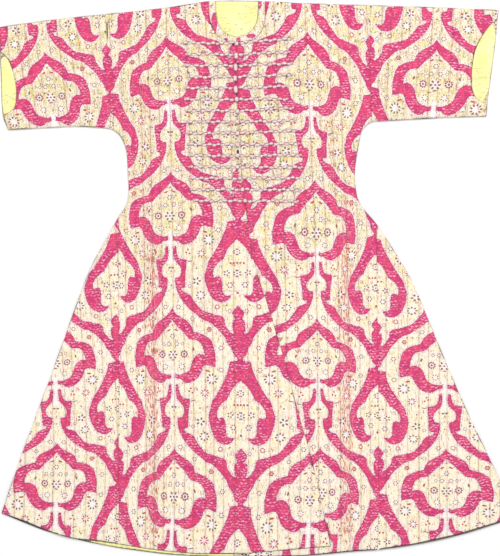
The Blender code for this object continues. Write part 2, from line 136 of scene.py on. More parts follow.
# Small flowers: x, y, style, then size, turn in degrees and stretch where they aren't 1, 0 and 1
FLOWERS = [
    (0, 17, "red_dot", 0.8), (4, 22, "red_leaf", 0.9, 25, 2.6), (0, 28, "small_ring"),
    (4.3, 35.7, "small_ring", 0.9), (10, 35.7, "small_ring", 0.7), (21, 40.7, "leaf", 1.0, 70, 2.2),
    (11.7, 46, "rosette"), (0, 46.5, "great_star"), (0, 51.8, "dark_leaf", 0.8, 0, 3.4),
    (9, 58.5, "dotted_ring", 0.85), (34.8, 63, "red_leaf", 1.0, 15, 2.6), (38.5, 71, "white_flower"),
    (31, 85, "red_star"), (17.5, 80.3, "red_dot", 0.9), (15.8, 83.2, "red_dot", 0.9),
    (19, 84.6, "red_dot", 0.9), (19.5, 92.6, "dark_leaf", 0.7, -12, 5.0), (26, 100, "dark_dot", 0.9),
    (26, 113.5, "five_star"), (29.5, 128.5, "olive_ring"), (19, 118.5, "small_ring", 0.8),
    (48.3, 40, "small_ring"), (37, 21.5, "red_rosette"), (20.5, 10.5, "small_ring", 0.9),
    (6.8, -1.5, "small_ring"), (47.7, 62, "small_ring"), (45.8, 141, "red_ring"),
    (55, 139.5, "dark_leaf", 0.8, -50, 2.4), (0, 99, "triangle"), (0, 102.5, "red_dot", 0.8),
    (0, 108.5, "dark_dot", 0.7), (0, 117.5, "red_dot", 0.8), (66.5, 85.5, "dark_ring"),
    (66.5, 97, "red_dot"), (63.4, 97, "red_dot"), (60, 97, "red_dot"), (56, 107, "five_star", 0.8),
    (66.5, 108, "great_star", 0.85), (59, 119.5, "small_ring", 1.2), (66.5, 127.5, "dark_dot", 1.3),
    (50, 100, "small_ring", 0.6), (42, 92.5, "dark_dot", 0.7), (30, 40, "dark_dot", 0.5),
    (48, 28, "dark_dot", 0.7), (58, 3, "small_ring", 0.8), (44, 0.5, "dark_dot", 0.7),
]

RED_INK = (0.50, 0.035, 0.075)
DARK_INK = (0.15, 0.055, 0.062)
GREY_INK = (0.22, 0.105, 0.115)
OLIVE_INK = (0.16, 0.12, 0.055)
WINE_INK = (0.27, 0.035, 0.085)

# Styles: ring radius, number of marks on the ring, mark radius, centre radius, length of a mark, ink
STYLES = {
    "none": (0.0, 1, 0.0, 0.0, 1.0, DARK_INK),
    "red_dot": (0.0, 1, 0.0, 1.0, 1.0, RED_INK),
    "dark_dot": (0.0, 1, 0.0, 0.9, 1.0, GREY_INK),
    "small_ring": (2.0, 6, 0.66, 0.0, 1.0, GREY_INK),
    "red_ring": (2.0, 7, 0.7, 0.0, 1.0, RED_INK),
    "red_rosette": (1.8, 6, 0.85, 0.6, 1.0, RED_INK),
    "rosette": (2.9, 9, 0.86, 1.05, 1.0, WINE_INK),
    "great_star": (3.7, 7, 0.82, 0.9, 1.5, DARK_INK),
    "dotted_ring": (3.0, 7, 0.72, 0.0, 1.0, GREY_INK),
    "white_flower": (4.4, 9, 0.80, 0.0, 1.5, OLIVE_INK),
    "red_star": (3.0, 8, 0.62, 0.0, 1.9, RED_INK),
    "five_star": (2.9, 5, 0.88, 0.0, 1.5, DARK_INK),
    "olive_ring": (3.7, 8, 0.82, 0.0, 1.2, OLIVE_INK),
    "triangle": (1.7, 3, 0.9, 0.0, 1.4, DARK_INK),
    "dark_ring": (2.8, 7, 0.75, 0.6, 1.0, DARK_INK),
    "leaf": (0.0, 1, 0.0, 0.85, 1.0, OLIVE_INK),
    "dark_leaf": (0.0, 1, 0.0, 0.72, 1.0, GREY_INK),
    "red_leaf": (0.0, 1, 0.0, 0.85, 1.0, RED_INK),
}
STYLE_NAMES = list(STYLES)
RING_SCALE, COUNT_SCALE, MARK_SCALE, LENGTH_SCALE = 8.0, 32.0, 4.0, 4.0
# How far over a repeat's edge a flower may reach, and how far beyond its own edge it is drawn
FLOWER_REACH, FLOWER_SPACE = 12, 3

# Where the white part of a stem fades out beside it, at its top and at its foot
STEM_SIDE, STEM_TOP, STEM_FOOT = (-4.6, -3.2), (60, 65), (-97, -92)

# The crimson's pale threads, in chart units
FLECK_ROW = 2.75
FLECK_LENGTH = 3.9

# Rows of frogs, in millimetres: reach to the left and right of the middle, rise of the right
# end, half the button's length and how far its middle hangs below the row
FROG_TOP_Y = 578.0
FROG_PITCH = 27.6
FROG_ROWS = [
    (187, 87, 12, 5.0, 2.0), (177, 80, 6, 8.0, 4.0), (182, 87, 6, 9.5, 4.5), (172, 87, 6, 7.0, 4.0),
    (180, 75, 5, 9.0, 3.5), (180, 75, 1, 5.5, 0.0), (177, 90, 7, 5.5, 2.0), (175, 95, 4, 5.0, 0.0),
    (172, 99, 7, 5.5, 0.5), (172, 104, 2, 5.5, 0.5), (170, 109, 2, 5.0, 0.0), (170, 112, -1, 5.0, 0.0),
    (168, 107, 1, 4.5, 0.0), (165, 107, -1, 5.0, 0.0), (158, 102, -1, 4.5, 0.0),
]
# Gaps from the opening to the ends of the braids, and the loop's half width, spare length and cord
LEFT_GAP, RIGHT_GAP = 7.5 * MM, 6.2 * MM
LOOP_HALF_WIDTH, LOOP_SPARE, LOOP_RADIUS = 4.4 * MM, 0.9, 0.75 * MM
# The cord from a braid to its button: distances from the opening and rises, in millimetres, and
# the distance at which it ends
SHANK, SHANK_END = [(8.5, 2.2), (6.0, 3.6)], 2.5 * MM
PLY_TWIST = 1.9 * MM
OPENING_CHEST = [(-51, 576), (-55, 488), (-49, 421), (-49, 274), (-30, 190), (-27, 166)]


def length(name, description, default):
    """A length that can be set."""
    return bpy.props.FloatProperty(name=name, description=description, default=default, unit="LENGTH")


def colour(name, description, default):
    """A colour that can be set."""
    return bpy.props.FloatVectorProperty(
        name=name, description=description, subtype="COLOR", size=4, default=(*default, 1.0))


class CaftanClothSettings(bpy.types.PropertyGroup):
    """Sizes of the quilted cloth."""

    front_step: length("Front mesh step", "Distance between the points of the front's cloth", 0.0030)
    back_step: length("Back mesh step", "Distance between the points of the back's cloth", 0.0040)
    quilt_rise: length("Quilting rise", "Height of the padding between two lines of stitches", 0.0011)
    edge_drop: length("Edge drop", "How far the cloth falls at its seams and edges", 0.0014)
    edge_width: length("Edge width", "Width of the rounded edge", 0.0036)


class CaftanColourSettings(bpy.types.PropertyGroup):
    """Colours of the woven pattern, the lining and the cords."""

    crimson: colour("Crimson", "Ground of the lattice and the palmettes", (0.64, 0.037, 0.172))
    gold: colour("Gold", "Metal thread that fills the pattern", (0.955, 0.872, 0.53))
    cream: colour("Cream", "Silk beside the metal thread", (0.97, 0.89, 0.80))
    outline: colour("Outline", "Fine line round every crimson shape", (0.92, 0.77, 0.76))
    fleck: colour("Fleck", "Short pale threads across the crimson", (0.95, 0.44, 0.58))
    stitch: colour("Stitch", "Quilting thread in its furrow", (0.24, 0.10, 0.09))
    lining: colour("Lining", "Plain lemon silk inside the caftan", (0.93, 0.89, 0.35))
    cord: colour("Cord", "Pale silk of the frogs", (0.98, 0.77, 0.755))


class CaftanFrogSettings(bpy.types.PropertyGroup):
    """Sizes of the braided frogs."""

    link_length: length("Link length", "Length of one link of the braid", 0.0118)
    half_width: length("Half width", "Half the width of the braid", 0.0045)
    sway: length("Sway", "How far the links lie to either side", 0.0009)
    strand_radius: length("Strand radius", "Radius of one strand", 0.00055)
    button_radius: length("Button radius", "Radius of a knotted button", 0.0040)


class CaftanStageSettings(bpy.types.PropertyGroup):
    """Floor, light and camera."""

    lens: bpy.props.FloatProperty(name="Lens", description="Focal length in millimetres", default=135.0)
    frame_height: length("Frame height", "Height of the picture on the cloth", 1.3622)
    light_power: bpy.props.FloatProperty(
        name="Light power", description="Power of the large soft light in watts", default=91.0)
    sky_strength: bpy.props.FloatProperty(
        name="Sky strength", description="Strength of the even light from all round", default=0.81)
    floor_colour: colour("Floor colour", "Plain pale floor", (0.97, 0.97, 0.97))


# ---------------------------------------------------------------- tables and curves

def read_table(values, at, result):
    """Values read from a table of straight lines, carried on past both ends."""
    at, result = np.asarray(at, float), np.asarray(result, float)
    values = np.asarray(values, float)
    read = np.interp(values, at, result)
    if len(at) > 1:
        low = result[0] + (values - at[0]) * (result[1] - result[0]) / (at[1] - at[0])
        high = result[-1] + (values - at[-1]) * (result[-1] - result[-2]) / (at[-1] - at[-2])
        read = np.where(values < at[0], low, np.where(values > at[-1], high, read))
    return read


def curve_through(knots, step):
    """Points about a step apart on a smooth curve through the knots, sharp at the corners."""
    places = np.array([knot[:2] for knot in knots], float)
    sharp = [len(knot) > 2 for knot in knots]
    points = []
    for index in range(len(knots) - 1):
        start, end = places[index], places[index + 1]
        span = np.linalg.norm(end - start)
        before = places[index - 1] if index and not sharp[index] else start
        after = places[index + 2] if index + 2 < len(knots) and not sharp[index + 1] else end
        leave = (end - before) / max(np.linalg.norm(start - before) + span, 1e-9) * span
        arrive = (after - start) / max(np.linalg.norm(after - end) + span, 1e-9) * span
        count = max(1, round(span / step))
        for t in np.arange(count) / count:
            points.append(
                (2 * t**3 - 3 * t**2 + 1) * start + (3 * t**2 - 2 * t**3) * end
                + (t**3 - 2 * t**2 + t) * leave + (t**3 - t**2) * arrive)
    points.append(places[-1])
    return np.array(points)


def distance_to_lines(points, starts, ends):
    """Distance from each point to the nearest of the line pieces."""
    nearest = np.full(len(points), np.inf)
    for start, end in zip(starts, ends):
        along = end - start
        share = np.clip((points - start) @ along / max(along @ along, 1e-18), 0, 1)
        away = points - start - share[:, None] * along
        nearest = np.minimum(nearest, (away * away).sum(1))
    return np.sqrt(nearest)


def distance_to_ring(points, outline):
    """Distance from each point to a closed outline."""
    return distance_to_lines(points, outline, np.roll(outline, -1, axis=0))


def inside(points, polygon):
    """Whether each point lies inside the closed polygon."""
    within = np.zeros(len(points), bool)
    x, y = points[:, 0], points[:, 1]
    for (x0, y0), (x1, y1) in zip(polygon, np.roll(polygon, -1, axis=0)):
        if y0 != y1:
            crosses = (y0 > y) != (y1 > y)
            within ^= crosses & (x < (x1 - x0) * (y - y0) / (y1 - y0) + x0)
    return within


def hashed(number):
    """A fixed number from 0 to 1 that looks random."""
    return (math.sin(number * 12.9898 + 4.137) * 43758.5453) % 1.0


# ---------------------------------------------------------------- the woven pattern

class Chart:
    """The crimson shapes of half a repeat, with their outlines and a table of distances."""

    STEP = 0.5
    GROWTH = 0.4
    MARGIN = 15

    def __init__(self):
        palmette, outer, inner = (
            curve_through(line, CURVE_STEP) for line in (PALMETTE, STEM_OUTER, STEM_INNER))
        self.outlines = [palmette, outer, inner]
        across = np.arange(0, HALF_REPEAT + self.STEP / 2, self.STEP)
        down = np.arange(0, REPEAT + self.STEP / 2, self.STEP)
        spots = np.array([(x, y) for y in down for x in across])
        starts, ends = [], []
        for line, drop, flip in itertools.product(
                self.outlines, (-2 * REPEAT, -REPEAT, 0, REPEAT), (0, 2 * HALF_REPEAT, None)):
            copy = line + (0, drop)
            if flip is not None:
                copy = copy * (-1, 1) + (flip, 0)
            limit = (HALF_REPEAT + self.MARGIN, REPEAT + self.MARGIN)
            near = ((copy > -self.MARGIN) & (copy < limit)).all(1)
            keep = near[:-1] & near[1:]
            starts.extend(copy[:-1][keep])
            ends.extend(copy[1:][keep])
        away = distance_to_lines(spots, starts, ends)
        within = np.zeros(len(spots), bool)
        spots[:, 0] = np.clip(spots[:, 0], 0.01, HALF_REPEAT - 0.01)
        for shape in (palmette, np.vstack([outer, inner[::-1]])):
            for drop in (0, REPEAT, 2 * REPEAT):
                within |= inside(spots + (0, drop), shape)
        self.table = np.where(within, -away, away).reshape(len(down), len(across)) - self.GROWTH
        self.outlines = [self.moved_out(line) for line in self.outlines]

    def moved_out(self, line):
        """The outline moved to where the table of distances is 0."""
        moved = line.copy()
        small = 0.3
        for _ in range(4):
            x, y = moved[:, 0], moved[:, 1]
            slope = np.stack([
                self.distance(x + small, y) - self.distance(x - small, y),
                self.distance(x, y + small) - self.distance(x, y - small)], 1) / (2 * small)
            slope /= np.maximum(np.linalg.norm(slope, axis=1), 0.3)[:, None]
            moved -= slope * self.distance(x, y)[:, None] * 0.8
            moved[:, 0] = np.clip(moved[:, 0], 0, HALF_REPEAT)
        return moved

    def distance(self, x, y):
        """Distance to the crimson's edge, in chart units, negative inside it."""
        x = np.abs((x + HALF_REPEAT) % (2 * HALF_REPEAT) - HALF_REPEAT) / self.STEP
        y = (y % REPEAT) / self.STEP
        column = np.clip(x.astype(int), 0, self.table.shape[1] - 2)
        row = np.clip(y.astype(int), 0, self.table.shape[0] - 2)
        x, y = x - column, y - row
        return (
            self.table[row, column] * (1 - x) * (1 - y) + self.table[row, column + 1] * x * (1 - y)
            + self.table[row + 1, column] * (1 - x) * y + self.table[row + 1, column + 1] * x * y)


def flower_marks(middles, corners):
    """For each triangle the nearest flower, as its corners' places in the flower and its style."""
    repeat = 2 * HALF_REPEAT
    start = np.floor(middles / (repeat, REPEAT)) * (repeat, REPEAT)
    local, corner = middles - start, corners - start[:, None]
    mirrored = local[:, 0] > HALF_REPEAT
    local[mirrored, 0] = repeat - local[mirrored, 0]
    corner[mirrored, :, 0] = repeat - corner[mirrored, :, 0]
    kinds = []
    for x, y, style, *rest in FLOWERS:
        size, turn, stretch = (*rest, *(1.0, 0, 1)[len(rest):])
        ring, _, mark, centre, length, _ = STYLES[style]
        reach = max((ring + mark * length) * size, centre * size * stretch)
        for drop in (-REPEAT, 0, REPEAT):
            if -FLOWER_REACH < y + drop < REPEAT + FLOWER_REACH:
                kinds.append((
                    x, y + drop, STYLE_NAMES.index(style), size, math.radians(turn), stretch, reach))
    best = np.full(len(local), np.inf)
    chosen = np.zeros(len(local), int)
    for index, (x, y, _, _, _, _, reach) in enumerate(kinds):
        away = np.hypot(local[:, 0] - x, local[:, 1] - y) - reach
        closer = away < best
        best[closer] = away[closer]
        chosen[closer] = index
    x, y, style, size, turn, stretch, _ = np.array(kinds)[chosen].T[..., None]
    right, below = corner[..., 0] - x, corner[..., 1] - y
    along = (right * np.cos(turn) + below * np.sin(turn)) / stretch
    beside = below * np.cos(turn) - right * np.sin(turn)
    style = np.where(best[:, None] < FLOWER_SPACE, style, 0) + 0 * along
    return np.stack([along / size, beside / size, style], -1)


class Lay:
    """How the pattern lies on a panel.

    The axis gives the place across of a palmette's axis at each height, the rows the heights of
    the palmettes' points, and the tilt how far the weft falls per unit to the right. The drift
    says how far the quilting has drawn the cloth from that: distances from the axis, then for
    each height how far sideways and how far down it is drawn at those distances."""

    def __init__(self, axis, rows, tilt, drift=((0, 1), ((0, (0, 0), (0, 0)), (1, (0, 0), (0, 0))))):
        self.axis, self.tilt = np.array(axis, float).T, np.array(tilt, float).T
        self.rows, self.steps = np.array(rows, float), REPEAT * np.arange(len(rows))
        self.columns = np.array(drift[0], float)
        self.heights = np.array([height for height, _, _ in drift[1]], float)
        self.drifts = np.array([row[1:] for row in drift[1]], float).transpose(1, 0, 2)

    def to_panel(self, x, y):
        """Distance from the axis and height on the axis, for places in chart units."""
        height = y
        for _ in range(4):
            across = x - read_table(height, *self.axis)
            height = y - across * read_table(height, *self.tilt)
        return across, height

    def from_panel(self, across, height):
        """The other way round."""
        fall = across * read_table(height, *self.tilt)
        return across + read_table(height, *self.axis), height + fall

    def drawn(self, across, height):
        """How far the cloth is drawn sideways and down at a place."""
        columns, heights = len(self.columns), len(self.heights)
        column = np.clip(np.interp(across, self.columns, np.arange(columns)), 0, columns - 1.001)
        row = np.clip(np.interp(height, self.heights, np.arange(heights)), 0, heights - 1.001)
        left, top = column.astype(int), row.astype(int)
        right, below = column - left, row - top
        return [
            (table[top, left] * (1 - right) + table[top, left + 1] * right) * (1 - below)
            + (table[top + 1, left] * (1 - right) + table[top + 1, left + 1] * right) * below
            for table in self.drifts]

    def to_chart(self, across, height):
        """Place in the woven pattern."""
        sideways, downwards = self.drawn(across, height)
        return across - sideways, read_table(height - downwards, self.rows, self.steps)

    def from_chart(self, x, y):
        """Place on the panel."""
        straight = read_table(y, self.steps, self.rows)
        across, height = x, straight
        for _ in range(6):
            sideways, downwards = self.drawn(across, height)
            across, height = x + sideways, straight + downwards
        return across, height


def stitch_lines(first, gaps, count):
    """Distances of the quilting lines from the axis."""
    lines = [first]
    for index in range(count):
        lines.append(lines[-1] + gaps[index % len(gaps)])
    return np.array(lines, float)


# Each panel's lay, in chart units of the photograph: height, place across
LAYS = {
    "front_lap": Lay(
        [(37, 166.6), (110, 169.6), (171, 170.8), (240, 172.4), (308, 172.8),
         (385, 174.0), (450, 174.4), (540, 173.6)],
        [37, 172, 308, 450], [(37, -0.03), (172, -0.015), (260, 0), (540, 0)],
        ((-54, -25, 4, 34, 63, 92, 122), (
            (11, (3, 1, 0, 1, 2, 2, 2), (7, 3, -1, -4, -2, -2, -2)),
            (49, (4, 0, -1, -1, 2, 2, 2), (6, 3, -2, -4, -1, -1, -1)),
            (87, (6, 2, -1, -1, 2, 2, 2), (5, 2, -1, -4, -4, -4, -4)),
            (125, (7, 1, 0, 1, -1, -1, -1), (5, 2, 1, -1, -3, -3, -3)),
            (164, (6, 1, 0, 0, 1, 1, 1), (3, 1, 0, -2, -2, -2, -2)),
            (202, (-1, -2, -2, -1, 1, 0, -1), (0, 0, -2, -2, -2, -1, -1)),
            (240, (4, -1, -2, -2, -2, -1, -1), (-1, 1, 1, 0, -2, -1, -1)),
            (278, (9, 2, -2, -2, -2, -1, -1), (-1, 0, 1, 0, -2, -2, -2)),
            (316, (7, 1, -1, -1, -1, -1, 2), (0, 1, 0, 0, 0, 0, 1)),
            (355, (7, 2, -1, -1, 0, 1, 4), (0, 1, 0, 0, 0, 0, 1)),
            (431, (11, 5, -1, 1, 0, 1, 4), (-1, -2, 0, 0, 0, 1, 1)),
            (469, (10, 5, -1, 0, 0, 1, 2), (-1, -2, -4, 0, 1, 2, 1)),
            (507, (11, 4, -1, 0, 0, 0, 3), (-1, 0, 2, 2, 3, 4, 4)),
            (546, (10, 2, -4, 0, -3, -3, 1), (0, 2, 6, 6, 8, 9, 9))))),
    "front_under": Lay(
        [(33, 307.4), (83, 309.6), (110, 311.0), (179, 314.0), (213, 316.0),
         (320, 318.5), (450, 320.0), (540, 320.0)],
        [33, 179, 320, 449.6], [(33, -0.03), (179, -0.02), (320, 0), (540, 0)],
        ((-70, -38, -6, 25, 57), (
            (8, (-3, -2, 0, -1, -4), (-3, -5, -1, 1, 4)),
            (47, (-4, -2, 0, 1, -3), (-1, -2, -2, 3, 6)),
            (85, (-5, -3, 0, -1, -3), (0, 1, 3, 6, 9)),
            (124, (-2, -3, 0, -2, -5), (0, 2, 5, 8, 8)),
            (162, (-2, 0, 0, -1, -7), (-1, -2, 1, 2, 9)),
            (201, (-3, -1, 1, 1, -4), (2, 2, 1, 3, 2)),
            (239, (-4, -1, 0, -2, -7), (6, 7, 9, 9, 5)),
            (278, (-3, -3, 0, -3, -9), (3, 6, 6, 5, 3)),
            (316, (-2, -2, -1, -4, -8), (2, 0, -1, 0, 0)),
            (355, (-3, -3, -1, -5, -7), (0, 0, -2, 0, 0)),
            (432, (-2, -1, 0, -3, -9), (0, 0, 0, -3, -4)),
            (470, (1, 1, 1, -1, -7), (-4, -4, -4, -1, 2)),
            (509, (4, 4, 4, -1, -8), (4, 4, 4, 2, 1)),
            (548, (5, 5, 5, 1, -10), (6, 6, 6, 0, 1))))),
    "front_gore_l": Lay(
        [(306, 50.0), (382, 54.5), (443, 57.0), (482, 56.0), (530, 55.0)],
        [316, 439], [(306, 0.0), (530, 0.02)],
        ((-47, -18, 10, 39, 68), (
            (226, (2, 3, 5, 8, 10), (2, 1, 0, -1, -6)),
            (303, (0, 0, 0, 0, -1), (2, 2, 2, 1, 0)),
            (342, (2, 3, 4, 0, -1), (9, 8, 7, 2, 1)),
            (380, (1, 1, 1, 0, -3), (9, 9, 7, 2, -2)),
            (419, (0, 1, 0, -1, -5), (5, 6, 7, 0, -2)),
            (457, (-1, 0, 0, -2, -4), (3, 3, 3, 0, -3)),
            (496, (0, 1, 0, -2, -4), (3, 5, 6, 2, -1)),
            (534, (0, 2, 0, 0, -6), (8, 9, 9, 6, 5))))),
    "front_gore_r": Lay(
        [(314, 446.0), (449, 446.0)], [322, 449], [(314, 0.0), (530, 0.0)],
        ((-62, -35, -8, 20, 48), (
            (234, (-10, -8, -5, -3, -1), (-4, -1, 0, 0, 0)),
            (272, (-5, -6, -2, 0, 0), (0, 3, 1, 1, 0)),
            (310, (-4, -5, 1, 1, 1), (0, 1, 0, 0, 0)),
            (349, (-4, -5, -3, -1, -1), (1, 1, 1, 3, 3)),
            (388, (-5, -3, -1, 0, 0), (2, 4, 4, 4, 4)),
            (426, (-2, -4, -2, 0, 3), (0, 3, 3, 1, 1)),
            (464, (-2, -2, 0, 2, 5), (-1, 0, -1, -1, 0)),
            (503, (-3, -2, 0, 1, 5), (-3, -1, 1, 1, 0))))),
    "front_sleeve_l": Lay(
        [(53, 45.6), (118, 54.0)], [53, 190], [(0, -0.13), (200, -0.13)],
        ((-42, -9, 24, 57), (
            (29, (0, 0, 0, -5), (1, 3, 2, 1)),
            (62, (1, 0, -2, -5), (-1, -2, -1, 0)),
            (126, (-2, 0, -2, -8), (-6, 0, 2, -4))))),
    "front_sleeve_r": Lay(
        [(41, 437.0), (112, 433.0)], [41, 178], [(0, 0.056), (200, 0.056)],
        ((-62, -5, 24, 53), (
            (15, (-2, -2, 0, 3), (-1, 3, 1, 2)),
            (49, (-2, 0, 1, 6), (-2, -2, -2, -1)),
            (82, (1, 0, 4, 7), (-2, -1, -2, -3)),
            (116, (1, 0, 1, 5), (0, 3, 1, -4))))),
    "back_panel": Lay([(0, 244.0), (550, 244.0)], [37, 177], [(0, 0.0), (550, 0.0)]),
    "back_gore_l": Lay([(0, 50.0), (550, 50.0)], [25, 165], [(0, 0.0), (550, 0.0)]),
    "back_gore_r": Lay([(0, 446.0), (550, 446.0)], [30, 170], [(0, 0.0), (550, 0.0)]),
    "back_sleeve_l": Lay([(53, 45.6), (118, 54.0)], [53, 190], [(0, -0.13), (200, -0.13)]),
    "back_sleeve_r": Lay([(41, 437.0), (112, 433.0)], [41, 178], [(0, 0.056), (200, 0.056)]),
}
LAP_LINES = np.array([
    -92, -80, -68, -56.5, -47, -36.5, -28.3, -19.8, -10.5, 0.5, 10.6, 19.5, 31.5, 39.6, 49.5, 61,
    74.6, 84, 95.5, 104, 115, 126, 137, 146,
], float)
UNDER_LINES = np.array([
    -105, -94, -84.5, -72, -63, -51, -41, -32.5, -21, -10, -1.5, 9, 20.8, 30, 41, 50.5, 60, 72,
    80.5, 92,
], float)
GAPS = (10.5, 8.5, 12, 9.5, 11, 7.5, 10, 12.5, 9, 11.5)
FRONT_PANELS = (
    "front_lap", "front_under", "front_gore_l", "front_gore_r", "front_sleeve_l", "front_sleeve_r")
BACK_PANELS = ("back_panel", "back_gore_l", "back_gore_r", "back_sleeve_l", "back_sleeve_r")
OUTLINES = {}
# Where the lining reaches into the corner beside the front, in millimetres
LINING_CORNERS = {"lining_cuff_l": (-622.0, 403.0)}
# How much wider, in pixels, the painted shadow line along the hem is on a panel, and where the hem
# begins
HEM_SHADOW_WIDTHS = {"front_lap": -0.65, "front_gore_l": -0.25, "front_under": 0.25, "front_gore_r": 0.7}
HEM_FROM = 480
# Crimson spots on the neck band: middle, half width and half height
BAND_SPOTS = [
    (214.5, 22, 3.0, 9.5), (214.0, 31, 2.2, 4.0), (238.5, 40, 2.2, 2.6), (251, 36, 4.6, 2.2),
    (259.5, 4, 2.2, 5.0), (226, 39.5, 2.0, 1.5)]
LINES = {
    "front_lap": LAP_LINES,
    "front_under": UNDER_LINES,
    "front_gore_l": stitch_lines(-72, GAPS, 16),
    "front_gore_r": stitch_lines(-98, GAPS[3:], 22),
    "front_sleeve_l": stitch_lines(-66, GAPS[1:], 16),
    "front_sleeve_r": stitch_lines(-86, GAPS[5:], 20),
    "back_panel": stitch_lines(-158, GAPS, 34),
    "back_gore_l": stitch_lines(-72, GAPS[2:], 20),
    "back_gore_r": stitch_lines(-98, GAPS[4:], 24),
    "back_sleeve_l": stitch_lines(-66, GAPS, 16),
    "back_sleeve_r": stitch_lines(-86, GAPS[2:], 20),
}

# Long creases, and lines of wear and of painted shadow: across and height of both ends, half width,
# depth or strength; a negative strength paints shadow in a crease or a gap of the opening
CREASES = {
    "front_lap": [
        (144, 165, 147, 548, 2.6, 1.2), (183, 120, 184, 330, 2.0, 0.5),
        (206, 250, 212, 540, 2.2, 0.6),
    ],
    "front_under": [
        (340.5, 165, 340, 545, 2.6, 1.2), (356, 300, 357, 540, 2.0, 0.5),
        (299, 210, 300, 330, 2.0, 0.5),
    ],
}
WEAR_AND_SHADOW_LINES = {
    "front_lap": [
        (152, 230, 154, 550, 8.0, 0.95), (145, 60, 146, 240, 6.0, 0.55),
        (206, 330, 208, 520, 3.0, 0.35), (130, 60, 128, 200, 4.0, 0.4),
        (105.9, 17, 107.3, 44, 0.6, -0.75), (233.2, 37, 233.4, 47, 0.8, -1.1),
        (145.5, 235, 146, 300, 0.8, -0.6), (145.5, 330, 146, 440, 0.8, -0.45),
        (158.6, 370, 159, 545, 0.8, -0.45),
    ],
    "front_under": [
        (344, 190, 347, 550, 8.5, 0.95), (331, 60, 333, 200, 5.0, 0.55),
        (300, 330, 303, 520, 4.0, 0.3), (339.8, 184, 340.2, 290, 0.9, -0.8),
        (340.6, 300, 340, 545, 0.8, -0.45), (357, 420, 357, 545, 0.8, -0.4),
        (237.4, 149, 237.6, 157, 0.9, -1.2), (237.4, 163, 238, 169, 0.9, -1.2),
        (237.6, 62.5, 237.6, 67.5, 0.9, -1.3), (236.2, 75, 236.2, 84, 0.7, -0.8),
        (236.6, 89, 236.6, 97, 0.7, -0.8), (237.8, 110, 237.8, 117, 0.7, -0.7),
        (238.0, 128, 238.0, 137, 0.7, -0.7), (240.0, 183, 241, 190, 0.8, -0.9),
    ],
}


# ---------------------------------------------------------------- cloth meshes

def twice_area(outline):
    """Twice the area inside an outline, negative if it runs clockwise."""
    after = np.roll(outline, -1, axis=0)
    return (outline[:, 0] * after[:, 1] - after[:, 0] * outline[:, 1]).sum()


def node_outline(name):
    """Outline of a cloth node, counter-clockwise, from the edges of its underside."""
    mesh = NODES[name].data
    places = np.empty(len(mesh.vertices) * 3)
    mesh.vertices.foreach_get("co", places)
    places = places.reshape(-1, 3)
    _, merged = np.unique(np.round(places / 1e-5), axis=0, return_inverse=True)
    merged = merged.reshape(-1)
    first = {}
    for index, number in enumerate(merged):
        first.setdefault(int(number), index)
    following, shared = {}, set()
    for face in mesh.polygons:
        if face.normal.z < -0.5:
            ring = [int(merged[index]) for index in face.vertices]
            for start, end in zip(ring, ring[1:] + ring[:1]):
                following.setdefault(start, []).append(end)
                shared.add((start, end))
    edges = {
        start: end for start, ends in following.items() for end in ends if (end, start) not in shared}
    start = next(iter(edges))
    ring, place = [start], edges[start]
    while place != start:
        ring.append(place)
        place = edges[place]
    outline = places[[first[number] for number in ring]][:, :2]
    return outline if twice_area(outline) > 0 else outline[::-1]


def grown(outline, margin):
    """The outline with each side moved out by the margin."""
    into = outline - np.roll(outline, 1, axis=0)
    into /= np.linalg.norm(into, axis=1)[:, None]
    first = np.stack([into[:, 1], -into[:, 0]], 1)
    second = np.roll(first, -1, axis=0)
    middle = first + second
    middle /= np.linalg.norm(middle, axis=1)[:, None]
    return outline + middle * (margin / np.maximum(0.4, (middle * second).sum(1)))[:, None]


def is_corner(outline):
    """Which points of an outline are corners, not parts of a curve."""
    into = outline - np.roll(outline, 1, axis=0)
    out = np.roll(into, -1, axis=0)
    turn = np.arctan2(into[:, 0] * out[:, 1] - into[:, 1] * out[:, 0], (into * out).sum(1))
    return np.abs(np.degrees(turn)) > CORNER_DEGREES


def rounded_outline(outline, step):
    """The outline as a smooth curve between its corners, as even steps."""
    sharp = is_corner(outline)
    start = int(np.argmax(sharp))
    order = np.roll(np.arange(len(outline)), -start)
    knots = [(*outline[index], CORNER) if sharp[index] else tuple(outline[index]) for index in order]
    return curve_through([*knots, (*outline[start], CORNER)], step)[:-1]


def ramp(value, start, end):
    """Smooth step from 0 at start to 1 at end."""
    t = np.clip((value - start) / (end - start), 0, 1)
    return t * t * (3 - 2 * t)


def to_units(places):
    """Chart units of the photograph, from metres."""
    return MIDDLE[0] + places[:, 0] / UNIT, MIDDLE[1] - places[:, 1] / UNIT


def to_metres(x, y):
    """Metres, from chart units of the photograph."""
    return np.stack([(x - MIDDLE[0]) * UNIT, (MIDDLE[1] - y) * UNIT], 1)


def near_lines(lines, x, y):
    """The sum of the lines' strengths at each place, each fading at its ends."""
    total = np.zeros(len(x))
    for x0, y0, x1, y1, width, strength in lines:
        middle = x0 + (x1 - x0) * np.clip((y - y0) / (y1 - y0), 0, 1)
        wander = 1.1 * np.sin(y / 17.0 + x0) + 0.6 * np.sin(y / 6.3 + y0)
        soft = min(25, 0.35 * (y1 - y0))
        fade = ramp(y, y0 - soft / 3, y0 + soft) * ramp(-y, -y1 - soft / 3, -y1 + soft)
        total = total + strength * (np.exp(-((x - middle - wander * 0.35) / width) ** 2) * fade)
    return total


def new_mesh_object(name, places, faces):
    """A smooth-shaded object at the origin that rides on the garment's one body."""
    mesh = bpy.data.meshes.new(name)
    mesh.from_pydata(np.asarray(places).tolist(), [], faces)
    mesh.validate()
    mesh.shade_smooth()
    piece = bpy.data.objects.new(name, mesh)
    bpy.context.scene.collection.objects.link(piece)
    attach(piece, "root")
    return piece


